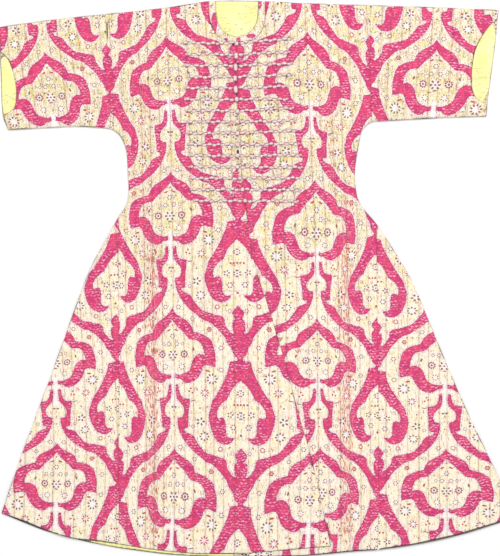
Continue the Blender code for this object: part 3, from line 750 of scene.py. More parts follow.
def give(mesh, name, values, domain="POINT"):
    """An attribute of the mesh: a number or a vector for each point or corner."""
    values = np.asarray(values, np.float32)
    kind, field = ("FLOAT_VECTOR", "vector") if values.ndim > 1 else ("FLOAT", "value")
    mesh.attributes.new(name, kind, domain).data.foreach_set(field, values.ravel())


def dress(piece, material, node):
    """Give a piece its material and have it stand in for its node."""
    piece.data.materials.append(material)
    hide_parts(node)


def in_ring(places, ring):
    """Whether each place lies inside the ring, quicker where most places are far from it."""
    keep = ((places > ring.min(0)) & (places < ring.max(0))).all(1)
    keep[keep] = inside(places[keep], ring)
    return keep


def pattern_edges(lay, ring, outline):
    """The crimson outlines that fall inside the ring, as points and the links between them."""
    wide, down = lay.to_chart(*lay.to_panel(*to_units(ring)))
    repeat = 2 * HALF_REPEAT
    columns = range(math.floor(wide.min() / repeat) - 1, math.ceil(wide.max() / repeat) + 2)
    rows = range(math.floor(down.min() / REPEAT) - 2, math.ceil(down.max() / REPEAT) + 1)
    points, links, total = [np.zeros((0, 2))], [], 0
    for line, column, side, row in itertools.product(CHART.outlines, columns, (-1, 1), rows):
        copy = line * (side, 1) + (repeat * column, REPEAT * row)
        if (copy[:, 0].max() < wide.min() or copy[:, 0].min() > wide.max()
                or copy[:, 1].max() < down.min() or copy[:, 1].min() > down.max()):
            continue
        places = to_metres(*lay.from_panel(*lay.from_chart(copy[:, 0], copy[:, 1])))
        keep = in_ring(places, ring)
        keep[keep] = distance_to_ring(places[keep], outline) >= EDGE_MARGIN
        number = np.cumsum(keep) - 1 + total
        jump = np.linalg.norm(np.diff(places, axis=0), axis=1) < LONGEST_LINK
        joined = keep[:-1] & keep[1:] & jump
        links.extend(zip(number[:-1][joined].tolist(), number[1:][joined].tolist()))
        points.append(places[keep])
        total += int(keep.sum())
    return np.vstack(points), links


def grid_points(name, outline, ring, step):
    """A grid between the lines of stitches, clear of the edges, and a point in every corner."""
    lay, lines, unit_step = LAYS[name], LINES[name], step / UNIT
    across, height = lay.to_panel(*to_units(ring))
    ends = [across.min() - 2, *lines, across.max() + 2]
    columns = []
    for start, end in zip(ends, ends[1:]):
        count = max(2, round((end - start) / unit_step))
        columns.extend(start + (end - start) * np.arange(count) / count)
    columns = np.array(columns)
    columns = columns[(columns > across.min() - 2) & (columns < across.max() + 2)]
    rows = np.arange(height.min() - 2, height.max() + 2, unit_step)
    across, height = np.meshgrid(columns, rows)
    height = height + (np.arange(len(columns)) % 2) * unit_step / 2
    across, height = across.ravel(), height.ravel()
    places = to_metres(*lay.from_panel(across, height))
    keep = in_ring(places, ring)
    places, across, height = places[keep], across[keep], height[keep]
    keep = distance_to_ring(places, outline) > step * 0.45
    keep &= np.abs(CHART.distance(*lay.to_chart(across, height))) > 0.42 * unit_step
    return np.vstack([places[keep], grown(outline, -0.4 * step)[is_corner(outline)]])


def triangulated(ring, loose, links=()):
    """The ring filled with triangles that use the loose points and keep the links between them:
    points, triangles, the ring's numbers among the points, and what each point came from."""
    base = len(ring)
    result = delaunay_2d_cdt(
        [Vector(place) for place in np.vstack([ring, loose]).tolist()],
        [(base + start, base + end) for start, end in links], [list(range(base))], 1, 1e-7, True)
    flat = np.array([tuple(place) for place in result[0]])
    faces = np.array([face for face in result[2] if len(face) == 3])
    faces = faces[inside(flat[faces].mean(1), ring)]
    signed = np.cross(flat[faces[:, 1]] - flat[faces[:, 0]], flat[faces[:, 2]] - flat[faces[:, 0]])
    faces[signed < 0] = faces[signed < 0][:, ::-1]
    where = {original: number for number, source in enumerate(result[3]) for original in source}
    return flat, faces, np.array([where[number] for number in range(base)]), result[3]


def sheet_object(name, flat, faces, turned, top, floor, underside=False):
    """A sheet with its edge turned down to the floor, its faces and the point that each of its
    points is read from."""
    count, number = len(flat), np.arange(len(turned))
    beside = np.roll(number, -1)
    walls = np.stack([
        turned, count + number, count + beside, turned, count + beside, turned[beside]], 1)
    faces = np.vstack([faces, walls.reshape(-1, 3)])
    if underside:
        faces = faces[:, ::-1]
    read = np.concatenate([np.arange(count), turned])
    height = np.concatenate([top, floor[turned]])
    piece = new_mesh_object(name + "_cloth", np.column_stack([flat[read], height]), faces.tolist())
    return piece, faces, read


def openness(name, flat, rim):
    """1 where the nearest edge is the garment's own, 0 where it is a seam to the next panel."""
    side = FRONT_PANELS if name in FRONT_PANELS else BACK_PANELS
    others = [OUTLINES.setdefault(other, node_outline(other)) for other in side if other != name]
    near = np.flatnonzero(rim < SEAM_REACH)
    beyond = np.min([distance_to_ring(flat[near], other) for other in others], axis=0)
    result = np.ones(len(flat))
    result[near] = ramp(beyond - rim[near], *SEAM_OPENING)
    return result


def woven_sheet(name, level, thick, cloth, step, underside=False):
    """The cloth of one panel: its outer face, its turned edge and all that its weave reads."""
    lay, lines = LAYS[name], LINES[name]
    outline = node_outline(name)
    ring = rounded_outline(grown(outline, SEAM_HALF_GAP), step)
    edges, links = pattern_edges(lay, ring, outline)
    flat, faces, turned, sources = triangulated(
        ring, np.vstack([edges, grid_points(name, outline, ring, step)]), links)
    on_edge = np.array([any(0 <= number - len(ring) < len(edges) for number in ids) for ids in sources])

    x, y = to_units(flat)
    across, height = lay.to_panel(x, y)
    wide, down = lay.to_chart(across, height)
    rim = distance_to_ring(flat, outline)
    free = openness(name, flat, rim)
    channel = np.clip(np.searchsorted(lines, across, side="right") - 1, 0, len(lines) - 2)
    pitch = lines[channel + 1] - lines[channel]
    beyond = np.clip((across - lines[channel]) / pitch, -0.5, 1.5)
    share = np.clip(beyond, 0, 1)

    # Padding between the stitches, long creases, the fall at the edges and a slow swell
    own = np.array([hashed(number + len(name)) for number in range(len(lines))])[channel]
    pillow = np.sin(np.pi * share) ** 0.7 * (0.7 + 0.45 * own)
    pillow *= 1 + 0.22 * np.sin(height / 9.0 + 40 * own) + 0.12 * np.sin(height / 3.7 + 90 * own)
    relief = cloth.quilt_rise * pillow * np.clip(rim / (2 * cloth.edge_width), 0.15, 1)
    fold = near_lines(CREASES.get(name, ()), x, y)
    drop = cloth.edge_drop * (1 - np.clip(rim / cloth.edge_width, 0, 1)) ** 2 * (0.25 + 0.75 * free)
    swell = SWELL * np.sin(x / 41 + y / 67) * np.sin(y / 53 - x / 90)
    if underside:
        floor = np.full(len(flat), thick)
        top = np.maximum(0.45 * (cloth.quilt_rise - relief) + drop, 0)
    else:
        floor = np.full(len(flat), level)
        if name == "front_lap":
            sideways = ramp(flat[:, 0], LAP_START[0], LAP_FULL[0])
            floor += LAP_HEIGHT * sideways * ramp(-flat[:, 1], -LAP_START[1], -LAP_FULL[1])
        top = floor + thick + relief + np.clip(swell, *SWELL_LIMITS) - fold * MM * CREASE_DEPTH - drop
    piece, faces, read = sheet_object(name, flat, faces, turned, top, floor, underside)

    # Wear streaks lift this above 0; below 0 it paints shadow lines in the creases and the gaps of the
    # opening, and a broken line of shade along the open edges
    broken_edge_shade = 0.5 + 0.5 * np.sin(x / 7.0 + y / 9.0) * np.sin(x / 23 - y / 15)
    wear_and_shade = near_lines(WEAR_AND_SHADOW_LINES.get(name, ()), x, y)
    wear_and_shade -= 0.85 * free * np.clip(1 - rim / (1.2 * MM), 0, 1) * broken_edge_shade
    tight = np.array([hashed(3.3 * number + len(name)) for number in range(len(lines) + 1)])
    tight = 0.55 + 0.45 * np.where(share < 0.5, tight[channel], tight[channel + 1])
    # A crease draws its stitches tight: the thread and the painted shade of its furrow at full strength
    tight = np.maximum(tight, np.clip(fold, 0, 1))
    hem_shadow_width = HEM_SHADOW_WIDTHS.get(name, 0.0) * (y > HEM_FROM)
    folded = np.abs((wide + HALF_REPEAT) % (2 * HALF_REPEAT) - HALF_REPEAT)
    below = down % REPEAT
    for attribute, values in {
            "grain": np.column_stack([wide * UNIT, height * UNIT, 0 * wide]),
            "crimson": np.where(on_edge, 0.0, CHART.distance(wide, down)),
            "stitch": np.column_stack([channel + beyond, pitch, tight]),
            "rim": rim / UNIT - hem_shadow_width + 3 * (1 - free),
            "wear_and_shade": np.clip(wear_and_shade, -1, 1),
            "white_stem": ramp(-folded, *STEM_SIDE) * ramp(below, *STEM_TOP) * ramp(-below, *STEM_FOOT),
    }.items():
        give(piece.data, attribute, values[read])
    corners = np.column_stack([wide, down])[read][faces]
    give(piece.data, "flower", flower_marks(corners.mean(1), corners).reshape(-1, 3), "CORNER")
    return piece, outline


def declare_sheet(outline):
    """Work out what size the piece of cloth was cut to, from its outline; the sizes are not kept."""
    area = float(twice_area(outline) / 2)
    wide, long = (float(size) for size in np.ptp(outline, axis=0))
    if area < NARROW_SHARE * wide * long:
        edge = np.linalg.norm(outline - np.roll(outline, 1, axis=0), axis=1).sum()
        wide, long = max(2 * area / edge, 0.0101), edge / 2


def with_corner(outline, corner):
    """The outline with one more corner, on the side that it lengthens least."""
    after = np.roll(outline, -1, axis=0)
    longer = (np.linalg.norm(outline - corner, axis=1) + np.linalg.norm(after - corner, axis=1)
              - np.linalg.norm(after - outline, axis=1))
    return np.insert(outline, int(np.argmin(longer)) + 1, corner, axis=0)


def plain_sheet(name, level, thick, step, relief):
    """A plain piece of cloth over its node: a face with a turned edge, raised by the relief."""
    outline = node_outline(name)
    if name in LINING_CORNERS:
        outline = with_corner(outline, np.array(LINING_CORNERS[name]) * MM)
    ring = rounded_outline(outline, step)
    low, high = ring.min(0), ring.max(0)
    rows = np.arange(low[1], high[1], step * 0.87)
    grid_x, grid_y = np.meshgrid(np.arange(low[0], high[0], step), rows)
    grid_x = grid_x + (np.arange(len(rows)) % 2)[:, None] * step / 2
    grid = np.column_stack([grid_x.ravel(), grid_y.ravel()])
    grid = grid[inside(grid, ring)]
    grid = grid[distance_to_ring(grid, outline) > step * 0.5]
    flat, faces, turned, _ = triangulated(ring, grid)
    rim = distance_to_ring(flat, outline)
    piece, _, read = sheet_object(
        name, flat, faces, turned, level + thick + relief(flat, rim), np.full(len(flat), level))
    return piece, outline, flat[read], rim[read]


# ---------------------------------------------------------------- materials

# Tints of the gold ground: painted shade towards the shoulders, wear and single threads
SHADED_GOLD = (0.88, 0.77, 0.25)
SHOULDER_SHADE = (0.42, 0.40, 0.24)
BLUSH = (0.88, 0.58, 0.54)
SILVER = (0.93, 0.96, 0.82)
BRIGHT_THREAD = (0.97, 0.93, 0.66)
RUBBED_PINK = (0.85, 0.48, 0.38)
BARE_RED = (0.60, 0.095, 0.105)
WORN_GREY = (0.34, 0.27, 0.20)
WEFT_SHADE = (0.62, 0.50, 0.30)
SPECK_BROWN = (0.21, 0.13, 0.075)
VINE_BROWN = (0.17, 0.085, 0.06)
STEM_WHITE = (0.96, 0.91, 0.91)
# Tints of the crimson, the flowers and the pattern's edges, and the painted shade in the furrows, along
# the edges, at the hem and in the narrow shadow lines
WARM_CRIMSON = (0.80, 0.060, 0.170)
DEEP_CRIMSON = (0.27, 0.018, 0.125)
WORN_CRIMSON = (0.93, 0.34, 0.36)
CRIMSON_EDGE = (0.20, 0.030, 0.095)
FLOWER_PALE = (0.95, 0.87, 0.90)
FADED_INK = (0.36, 0.035, 0.060)
EDGE_MARKS = (0.50, 0.115, 0.16)
FURROW_SHADE = (0.80, 0.55, 0.45)
SEAM_SHADE = (0.66, 0.55, 0.50)
HEM_SHADOW = (0.055, 0.035, 0.035)
NARROW_SHADOW = (0.035, 0.012, 0.016)
# Tints of the lining with its painted shade, the cords with their painted shade and shadow, and the
# floor
PALE_LEMON = (0.96, 0.92, 0.48)
CRACK_BROWN = (0.36, 0.29, 0.14)
INNER_SHADE = (0.075, 0.055, 0.03)
LINING_WEAVE = (0.80, 0.78, 0.25)
CORD_WHITE = (0.97, 0.91, 0.90)
CORD_PINK = (0.92, 0.50, 0.52)
PLY_SHADE = (0.48, 0.34, 0.38)
TARNISH = (0.22, 0.17, 0.18)
DARK_STRAND_AND_SHADOW = (0.26, 0.045, 0.070)
FLOOR_TOOTH = (0.96, 0.96, 0.96)


def sign(operation):
    """A method that has a node work the value out with others."""
    return lambda value, *others: value.make.maths(operation, value, *others)


class Value:
    """What a socket gives, so that sums of sockets are written with plain signs."""

    __add__, __sub__, __mul__ = sign("ADD"), sign("SUBTRACT"), sign("MULTIPLY")
    __truediv__, __pow__, __abs__ = sign("DIVIDE"), sign("POWER"), sign("ABSOLUTE")
    floor, fraction, root, largest = sign("FLOOR"), sign("FRACT"), sign("SQRT"), sign("MAXIMUM")
    sine, cosine, angle = sign("SINE"), sign("COSINE"), sign("ARCTAN2")

    def __init__(self, make, socket):
        self.make, self.socket = make, socket

    def ramp(self, start, end, low=0.0, high=1.0):
        """A smooth step from low at start to high at end."""
        return self.make.node("ShaderNodeMapRange", {
            "Value": self, "From Min": start, "From Max": end, "To Min": low, "To Max": high},
            interpolation_type="SMOOTHSTEP", clamp=True)["Result"]

    def mixed(self, share, other, blend="MIX"):
        """This colour with a share of another."""
        return self.make.mix(share, self, other, blend)


class Outputs:
    """A node's outputs, as values."""

    def __init__(self, make, made):
        self.make, self.made = make, made

    def __getitem__(self, key):
        return Value(self.make, self.made.outputs[key])


class Finish:
    """A material and short names for the nodes that its finish is made of."""

    def __init__(self, name, roughness, sheen=0.0, sheen_roughness=0.5, specular=0.5, place=None):
        self.material = bpy.data.materials.new(name)
        self.material.use_nodes = True
        self.tree = self.material.node_tree
        self.shader = self.tree.nodes["Principled BSDF"]
        self.shader.inputs["Roughness"].default_value = roughness
        self.shader.inputs["Sheen Weight"].default_value = sheen
        self.shader.inputs["Sheen Roughness"].default_value = sheen_roughness
        self.shader.inputs["Specular IOR Level"].default_value = specular
        self.place = (
            self.attribute(place, "Vector") if place else self.node("ShaderNodeTexCoord")["Object"])

    def node(self, kind, inputs=None, **settings):
        """The outputs of a node with its settings and its inputs filled by number or name."""
        made = self.tree.nodes.new(kind)
        for setting, value in settings.items():
            setattr(made, setting, value)
        for socket, value in (inputs or {}).items():
            self.fill(made.inputs[socket], value)
        return Outputs(self, made)

    def fill(self, socket, value):
        """Link a socket, or give it a plain value."""
        if isinstance(value, Value):
            self.tree.links.new(value.socket, socket)
        elif socket.type == "RGBA":
            socket.default_value = (*value, 1.0)[:4]
        else:
            socket.default_value = value

    def attribute(self, name, output="Fac"):
        """An attribute that the mesh carries."""
        return self.node("ShaderNodeAttribute", attribute_name=name)[output]

    def parts(self, vector):
        """The three numbers of a vector."""
        split = self.node("ShaderNodeSeparateXYZ", {0: vector})
        return split[0], split[1], split[2]

    def maths(self, operation, *values):
        """The result of a sum on numbers."""
        return self.node("ShaderNodeMath", dict(enumerate(values)), operation=operation)[0]

    def mix(self, share, first, second, blend="MIX"):
        """A blend of two colours."""
        return self.node(
            "ShaderNodeMix", {0: share, 6: first, 7: second},
            data_type="RGBA", blend_type=blend, clamp_factor=True)[2]

    def noise(self, scale, offset=(0, 0), detail=2, rough=0.5):
        """Soft noise from 0 to 1 over the place, stretched and moved along its axes."""
        moved = self.node("ShaderNodeMapping", {
            "Vector": self.place, "Scale": (*scale, 1)[:3], "Location": (*offset, 0)[:3]})[0]
        return self.node("ShaderNodeTexNoise", {
            "Vector": moved, "Scale": 1.0, "Detail": detail, "Roughness": rough})[0]

    def finish(self, colour, roughness=None, height=None, depth=0.0, strength=0.0):
        """Link the finished colour, roughness and relief."""
        self.fill(self.shader.inputs["Base Color"], colour)
        if roughness:
            self.fill(self.shader.inputs["Roughness"], roughness)
        if height:
            self.fill(self.shader.inputs["Normal"], self.node(
                "ShaderNodeBump", {"Height": height, "Distance": depth, "Strength": strength})[0])
        return self.material


def style_ramp(make, value, rows):
    """Values of the flowers' styles, read by the style's number."""
    outputs = make.node("ShaderNodeValToRGB", {0: value})
    steps = outputs.made.color_ramp
    steps.interpolation = "CONSTANT"
    while len(steps.elements) < len(rows):
        steps.elements.new(0.99)
    for number, row in enumerate(rows):
        steps.elements[number].position = number / len(rows)
        steps.elements[number].color = row
    return outputs


def gold_ground(make, colours, edge, wear_and_shade, top_shade_and_marks, worn, threads):
    """Cream silk beside the crimson and lemon metal thread beyond it, with painted shade and more marks
    towards the shoulders, rubbed pink and grey along the warp."""
    # Painted shade: the gold darker towards the shoulders, with a darker olive tint over it
    gold = make.mix(top_shade_and_marks, colours.gold, SHADED_GOLD)
    patches = make.noise((85, 58), detail=3).ramp(0.43, 0.55, 0.28, 1.0)
    tint = make.noise((20, 12), (4.7, 8.1)).ramp(0.40, 0.58, 0.50, 1.0)
    ground = make.mix(edge.ramp(1.3, 2.8) * patches * tint, colours.cream, gold)
    ground = ground.mixed(top_shade_and_marks * 0.12, SHOULDER_SHADE)
    blush = make.noise((230, 110), (5.3, 2.2), detail=3)
    ground = ground.mixed(blush.ramp(0.50, 0.68, 0, 0.68), BLUSH)
    silver = make.noise((310, 210), (1.9, 7.7))
    ground = ground.mixed(silver.ramp(0.50, 0.62, 0, 0.50), SILVER)
    ground = ground.mixed(threads.ramp(0.50, 0.68, 0, 0.35), BRIGHT_THREAD)
    rubbed = wear_and_shade + make.noise((60, 9), (3.1, 0.7))
    ground = ground.mixed(rubbed.ramp(0.75, 1.5, 0, 0.20), RUBBED_PINK)
    ground = ground.mixed(worn.ramp(0.63, 0.69, 0, 0.80), BARE_RED)
    grey = make.noise((560, 26), (8.3, 2.9)) + top_shade_and_marks * 0.03
    ground = ground.mixed(grey.ramp(0.635, 0.70, 0, 0.42), WORN_GREY)
    weft = make.noise((150, 1100), detail=1)
    ground = ground.mixed(weft.ramp(0.50, 0.72, 0, 0.13), WEFT_SHADE)
    specks = make.noise((290, 230), (2.4, 9.1), detail=3, rough=0.65) + top_shade_and_marks * 0.045
    ground = ground.mixed(specks.ramp(0.645, 0.71, 0, 0.9) * edge.ramp(0.9, 2.0), SPECK_BROWN)
    vine = abs(make.noise((125, 115), (0.2, 3.9), detail=1) - 0.5).ramp(0.026, 0.010)
    vine *= make.noise((52, 60), (7.2, 1.1), detail=1).ramp(0.44, 0.50)
    vine = vine * edge.ramp(1.6, 2.4) * top_shade_and_marks.ramp(0.0, 1.0, 0.30, 0.78)
    ground = ground.mixed(vine, VINE_BROWN)
    return ground.mixed(make.attribute("white_stem") * 0.74, STEM_WHITE)


def crimson_silk(make, colours, edge, weft_place, warp_place, worn):
    """Warm and deep shades, with short pale threads bowed in staggered rows."""
    shade = make.noise((60, 44), (1.7, 5.1), detail=3)
    crimson = make.mix(shade.ramp(0.38, 0.66), colours.crimson, WARM_CRIMSON)
    row = warp_place * (1 / (FLECK_ROW * UNIT)) + (make.noise((62, 44), detail=1) - 0.5) * 2.4
    row_number = row.floor()
    lane = weft_place * (1 / (FLECK_LENGTH * UNIT)) + make.noise((150, 210), (2.8, 3.3), detail=1) * 0.9
    lane += row_number * 0.53
    lane_share = lane.fraction() - 0.5
    chance = make.node("ShaderNodeTexWhiteNoise", {"Vector": make.node(
        "ShaderNodeCombineXYZ", {0: lane.floor(), 1: row_number, 2: 0.0})[0]})[0]
    bow = abs(lane_share) ** 2.0 * 1.5
    off_row = (row.fraction() - 0.5) + (bow - 0.10)
    reach = (abs(lane_share * 2.3) ** 2.0 + abs(off_row * 3.5) ** 2.0).root()
    lively = make.noise((17, 14), (9.4, 4.2), detail=1).ramp(0.38, 0.54, 0.32, 1.0)
    fleck_share = reach.ramp(1.10, 0.60) * chance.ramp(0.10, 0.70) * lively
    gap = abs(off_row + 0.40).ramp(0.24, 0.08)
    gap *= make.noise((170, 300), (6.1, 0.9), detail=1).ramp(0.34, 0.54)
    crimson = crimson.mixed(gap * lively * 0.85, DEEP_CRIMSON)
    crimson = crimson.mixed(fleck_share * 0.85, colours.fleck)
    crimson = crimson.mixed(worn.ramp(0.62, 0.70) * 0.4, WORN_CRIMSON)
    dark_edge = make.noise((210, 260), (0.7, 4.9), detail=1).ramp(0.36, 0.54)
    dark_edge = edge.ramp(-1.15, -0.55) * dark_edge
    return crimson.mixed(dark_edge * 0.66, CRIMSON_EDGE), fleck_share


def small_flowers(make, colour):
    """The colour with the small flowers, drawn round each flower's own middle."""
    flower_x, flower_y, style = make.parts(make.attribute("flower", "Vector"))
    number = (style + 0.5) / float(len(STYLES))
    shapes = style_ramp(make, number, [
        (ring / RING_SCALE, count / COUNT_SCALE, mark / MARK_SCALE, centre / MARK_SCALE)
        for ring, count, mark, centre, _, _ in STYLES.values()])
    inks = style_ramp(make, number, [
        (*ink, length / LENGTH_SCALE) for _, _, _, _, length, ink in STYLES.values()])
    shape = make.node("ShaderNodeSeparateColor", {0: shapes[0]})
    ring, count, mark = shape[0] * RING_SCALE, shape[1] * COUNT_SCALE, shape[2] * MARK_SCALE
    centre, length = shapes[1] * MARK_SCALE, inks[1] * LENGTH_SCALE
    uneven = (make.noise((700, 700), detail=1) - 0.5) * 1.3
    away = (flower_x ** 2.0 + flower_y ** 2.0).root()
    turn = flower_y.angle(flower_x) / math.tau * count
    turn = ((turn + 0.5).fraction() - 0.5) / count * math.tau
    outwards = (away * turn.cosine() - ring) / length
    spot = ((away * turn.sine()) ** 2.0 + outwards ** 2.0).root() - mark + uneven * 0.8
    middle = away - centre + uneven * 0.4
    pale = (away - ring).ramp(1.0, -0.2)
    colour = colour.mixed(pale * 0.70, FLOWER_PALE)
    faded = make.noise((90, 90), (3.6, 8.8), detail=1).ramp(0.50, 0.62, 0, 0.8)
    ink = inks[0].mixed(faded, FADED_INK)
    return colour.mixed(spot.ramp(0.22, -0.15).largest(middle.ramp(0.22, -0.15)) * 0.95, ink)


def brocade(colours):
    """Quilted brocade: crimson shapes and small flowers on gold, all read from the mesh."""
    make = Finish("quilted_brocade", 0.55, 0.12, 0.45, 0.35, place="grain")
    weft_place, warp_place, _ = make.parts(make.place)
    rim, wear_and_shade = make.attribute("rim"), make.attribute("wear_and_shade")

    # Woven steps along every edge of the pattern
    edge = make.attribute("crimson") + (make.noise((340, 330)) - 0.5) * 2.0
    crimson_share = edge.ramp(0.16, -0.16)
    outline_share = edge.ramp(1.45, 0.8)

    # Painted shade towards the shoulders, which also brings more specks, grey patches and vines there
    top_shade_and_marks = (warp_place + make.noise((7, 5))).ramp(0.85, 1.35, 1.0, 0.0)
    worn = make.noise((340, 66), (5.1, 0.7), detail=1) + wear_and_shade * 0.15
    threads = make.noise((420, 10))
    ground = gold_ground(make, colours, edge, wear_and_shade, top_shade_and_marks, worn, threads)
    crimson, fleck_share = crimson_silk(make, colours, edge, weft_place, warp_place, worn)
    colour = ground.mixed(outline_share * 0.85, colours.outline)
    marks = make.noise((330, 280), (6.6, 2.7)).ramp(0.50, 0.60) * edge.ramp(2.4, 1.0)
    colour = small_flowers(make, colour.mixed(marks * 0.72, EDGE_MARKS))
    colour = colour.mixed(crimson_share, crimson)

    # Quilting thread with painted shade in its furrow, painted shade along the edges, a painted shadow
    # line along the hem and painted shadow lines in the creases and the slits
    channel, pitch, strong = make.parts(make.attribute("stitch", "Vector"))
    off = abs((channel + 0.5).fraction() - 0.5) * pitch
    ragged = make.noise((30, 260), (4.4, 1.2)).ramp(0.36, 0.56, 0.15, 1.0)
    thread = off.ramp(0.42, 0.12) * strong * ragged
    # Painted shade in the furrow beside each line of stitches
    furrow_shading = off.ramp(2.4, 0.2) * (strong * 0.30)
    colour = colour.mixed(furrow_shading, colour.mixed(1.0, FURROW_SHADE, "MULTIPLY"))
    colour = colour.mixed(thread * 0.80, colours.stitch)
    # Painted shade along the cloth's edges
    colour = colour.mixed(rim.ramp(0.45, 0.05, 0, 0.5), SEAM_SHADE)
    # A painted shadow line along the hem, of wavering width
    thick = make.noise((5, 3), (1.7, 0.6), detail=1).ramp(0.46, 0.56, 0, 0.3)
    hem_shadow = (rim - thick).ramp(1.1, 0.4) * warp_place.ramp(1.23, 1.26)
    colour = colour.mixed(hem_shadow * 0.9, HEM_SHADOW)
    # Painted shadow where the attribute is below 0: in the creases, the gaps of the opening and along
    # the open edges
    colour = colour.mixed(wear_and_shade.ramp(-0.12, -0.55), NARROW_SHADOW)

    # Relief of the weave, the flecks and the puckers beside the stitches
    ribs = make.noise((900, 2100), detail=1)
    pucker = make.noise((60, 420), (0.4, 6.6)) * off.ramp(4.0, 0.0)
    height = ribs * 0.18 + pucker * 0.9 + fleck_share * crimson_share * 0.25 - thread * 0.5
    roughness = threads.ramp(0.3, 0.8, 0.62, 0.42) + crimson_share * 0.16
    return make.finish(colour, roughness, height, 0.0006, 0.75)


def lining_silk(colours):
    """Plain lemon silk with fine cracks and a faint weave."""
    make = Finish("lining_silk", 0.5, sheen=0.1, specular=0.4)
    shade = make.noise((30, 22), detail=3)
    colour = make.mix(shade.ramp(0.35, 0.7), colours.lining, PALE_LEMON)
    cracks = abs(make.noise((16, 58), (3.3, 1.4), detail=4, rough=0.6) - 0.5).ramp(0.012, 0.002)
    cracks *= make.noise((26, 20), (1.1, 6.2)).ramp(0.38, 0.50)
    cracks = cracks.largest(make.noise((300, 300), (4.1, 0.6), detail=1).ramp(0.70, 0.78))
    colour = colour.mixed(cracks * 0.62, CRACK_BROWN)
    colour = colour.mixed(make.attribute("shade") * 0.9, INNER_SHADE)
    weave = make.noise((900, 2400), detail=1)
    colour = colour.mixed(weave.ramp(0.4, 0.7, 0, 0.2), LINING_WEAVE)
    return make.finish(colour, shade.ramp(0.3, 0.7, 0.55, 0.42), weave * 0.3 - cracks, 0.0004, 0.6)


def cord_silk(colours):
    """Twisted pale silk with painted shade in the grooves of its ply, dark strands with painted shadow
    on the knots, and tarnished metal thread.
    """
    make = Finish("cord_silk", 0.5, sheen=0.15, specular=0.45)
    run, round_share, dark = make.parts(make.attribute("ply", "Vector"))
    groove = abs((run * (1 / PLY_TWIST) + round_share).fraction() - 0.5)
    blotch = make.noise((260, 260, 260))
    colour = make.mix(blotch.ramp(0.40, 0.62), colours.cord, CORD_WHITE)
    colour = colour.mixed(blotch.ramp(0.60, 0.40, 0, 0.55), CORD_PINK)
    # Painted shade in the grooves between the plies and between the knots' windings
    colour = colour.mixed(groove.ramp(0.40, 0.5, 0, 0.45), PLY_SHADE)
    tarnish = make.noise((120, 120, 120), (3, 1, 7), detail=3)
    colour = colour.mixed(tarnish.ramp(0.60, 0.72, 0, 0.45), TARNISH)
    # Dark strands, and painted shadow on the knots
    colour = colour.mixed(dark, DARK_STRAND_AND_SHADOW)
    return make.finish(colour, blotch.ramp(0.3, 0.7, 0.55, 0.4), groove.ramp(0.5, 0.2), 0.0005, 0.9)


def floor_paper(settings):
    """Plain pale floor with a very faint tooth."""
    make = Finish("floor_paper", 0.9, specular=0.1)
    tooth = make.noise((3, 3, 3))
    return make.finish(make.mix(tooth.ramp(0.3, 0.7), settings.floor_colour, FLOOR_TOOTH))


def finish_of(name, maker, settings):
    """The material of that name, made when it is first asked for."""
    return bpy.data.materials.get(name) or maker(settings)


# ---------------------------------------------------------------- frogs

def opening_x(y):
    """Where the front opening lies at a height on the chest, in millimetres."""
    x, heights = np.array(OPENING_CHEST, float)[::-1].T
    return float(np.interp(y, heights, x))


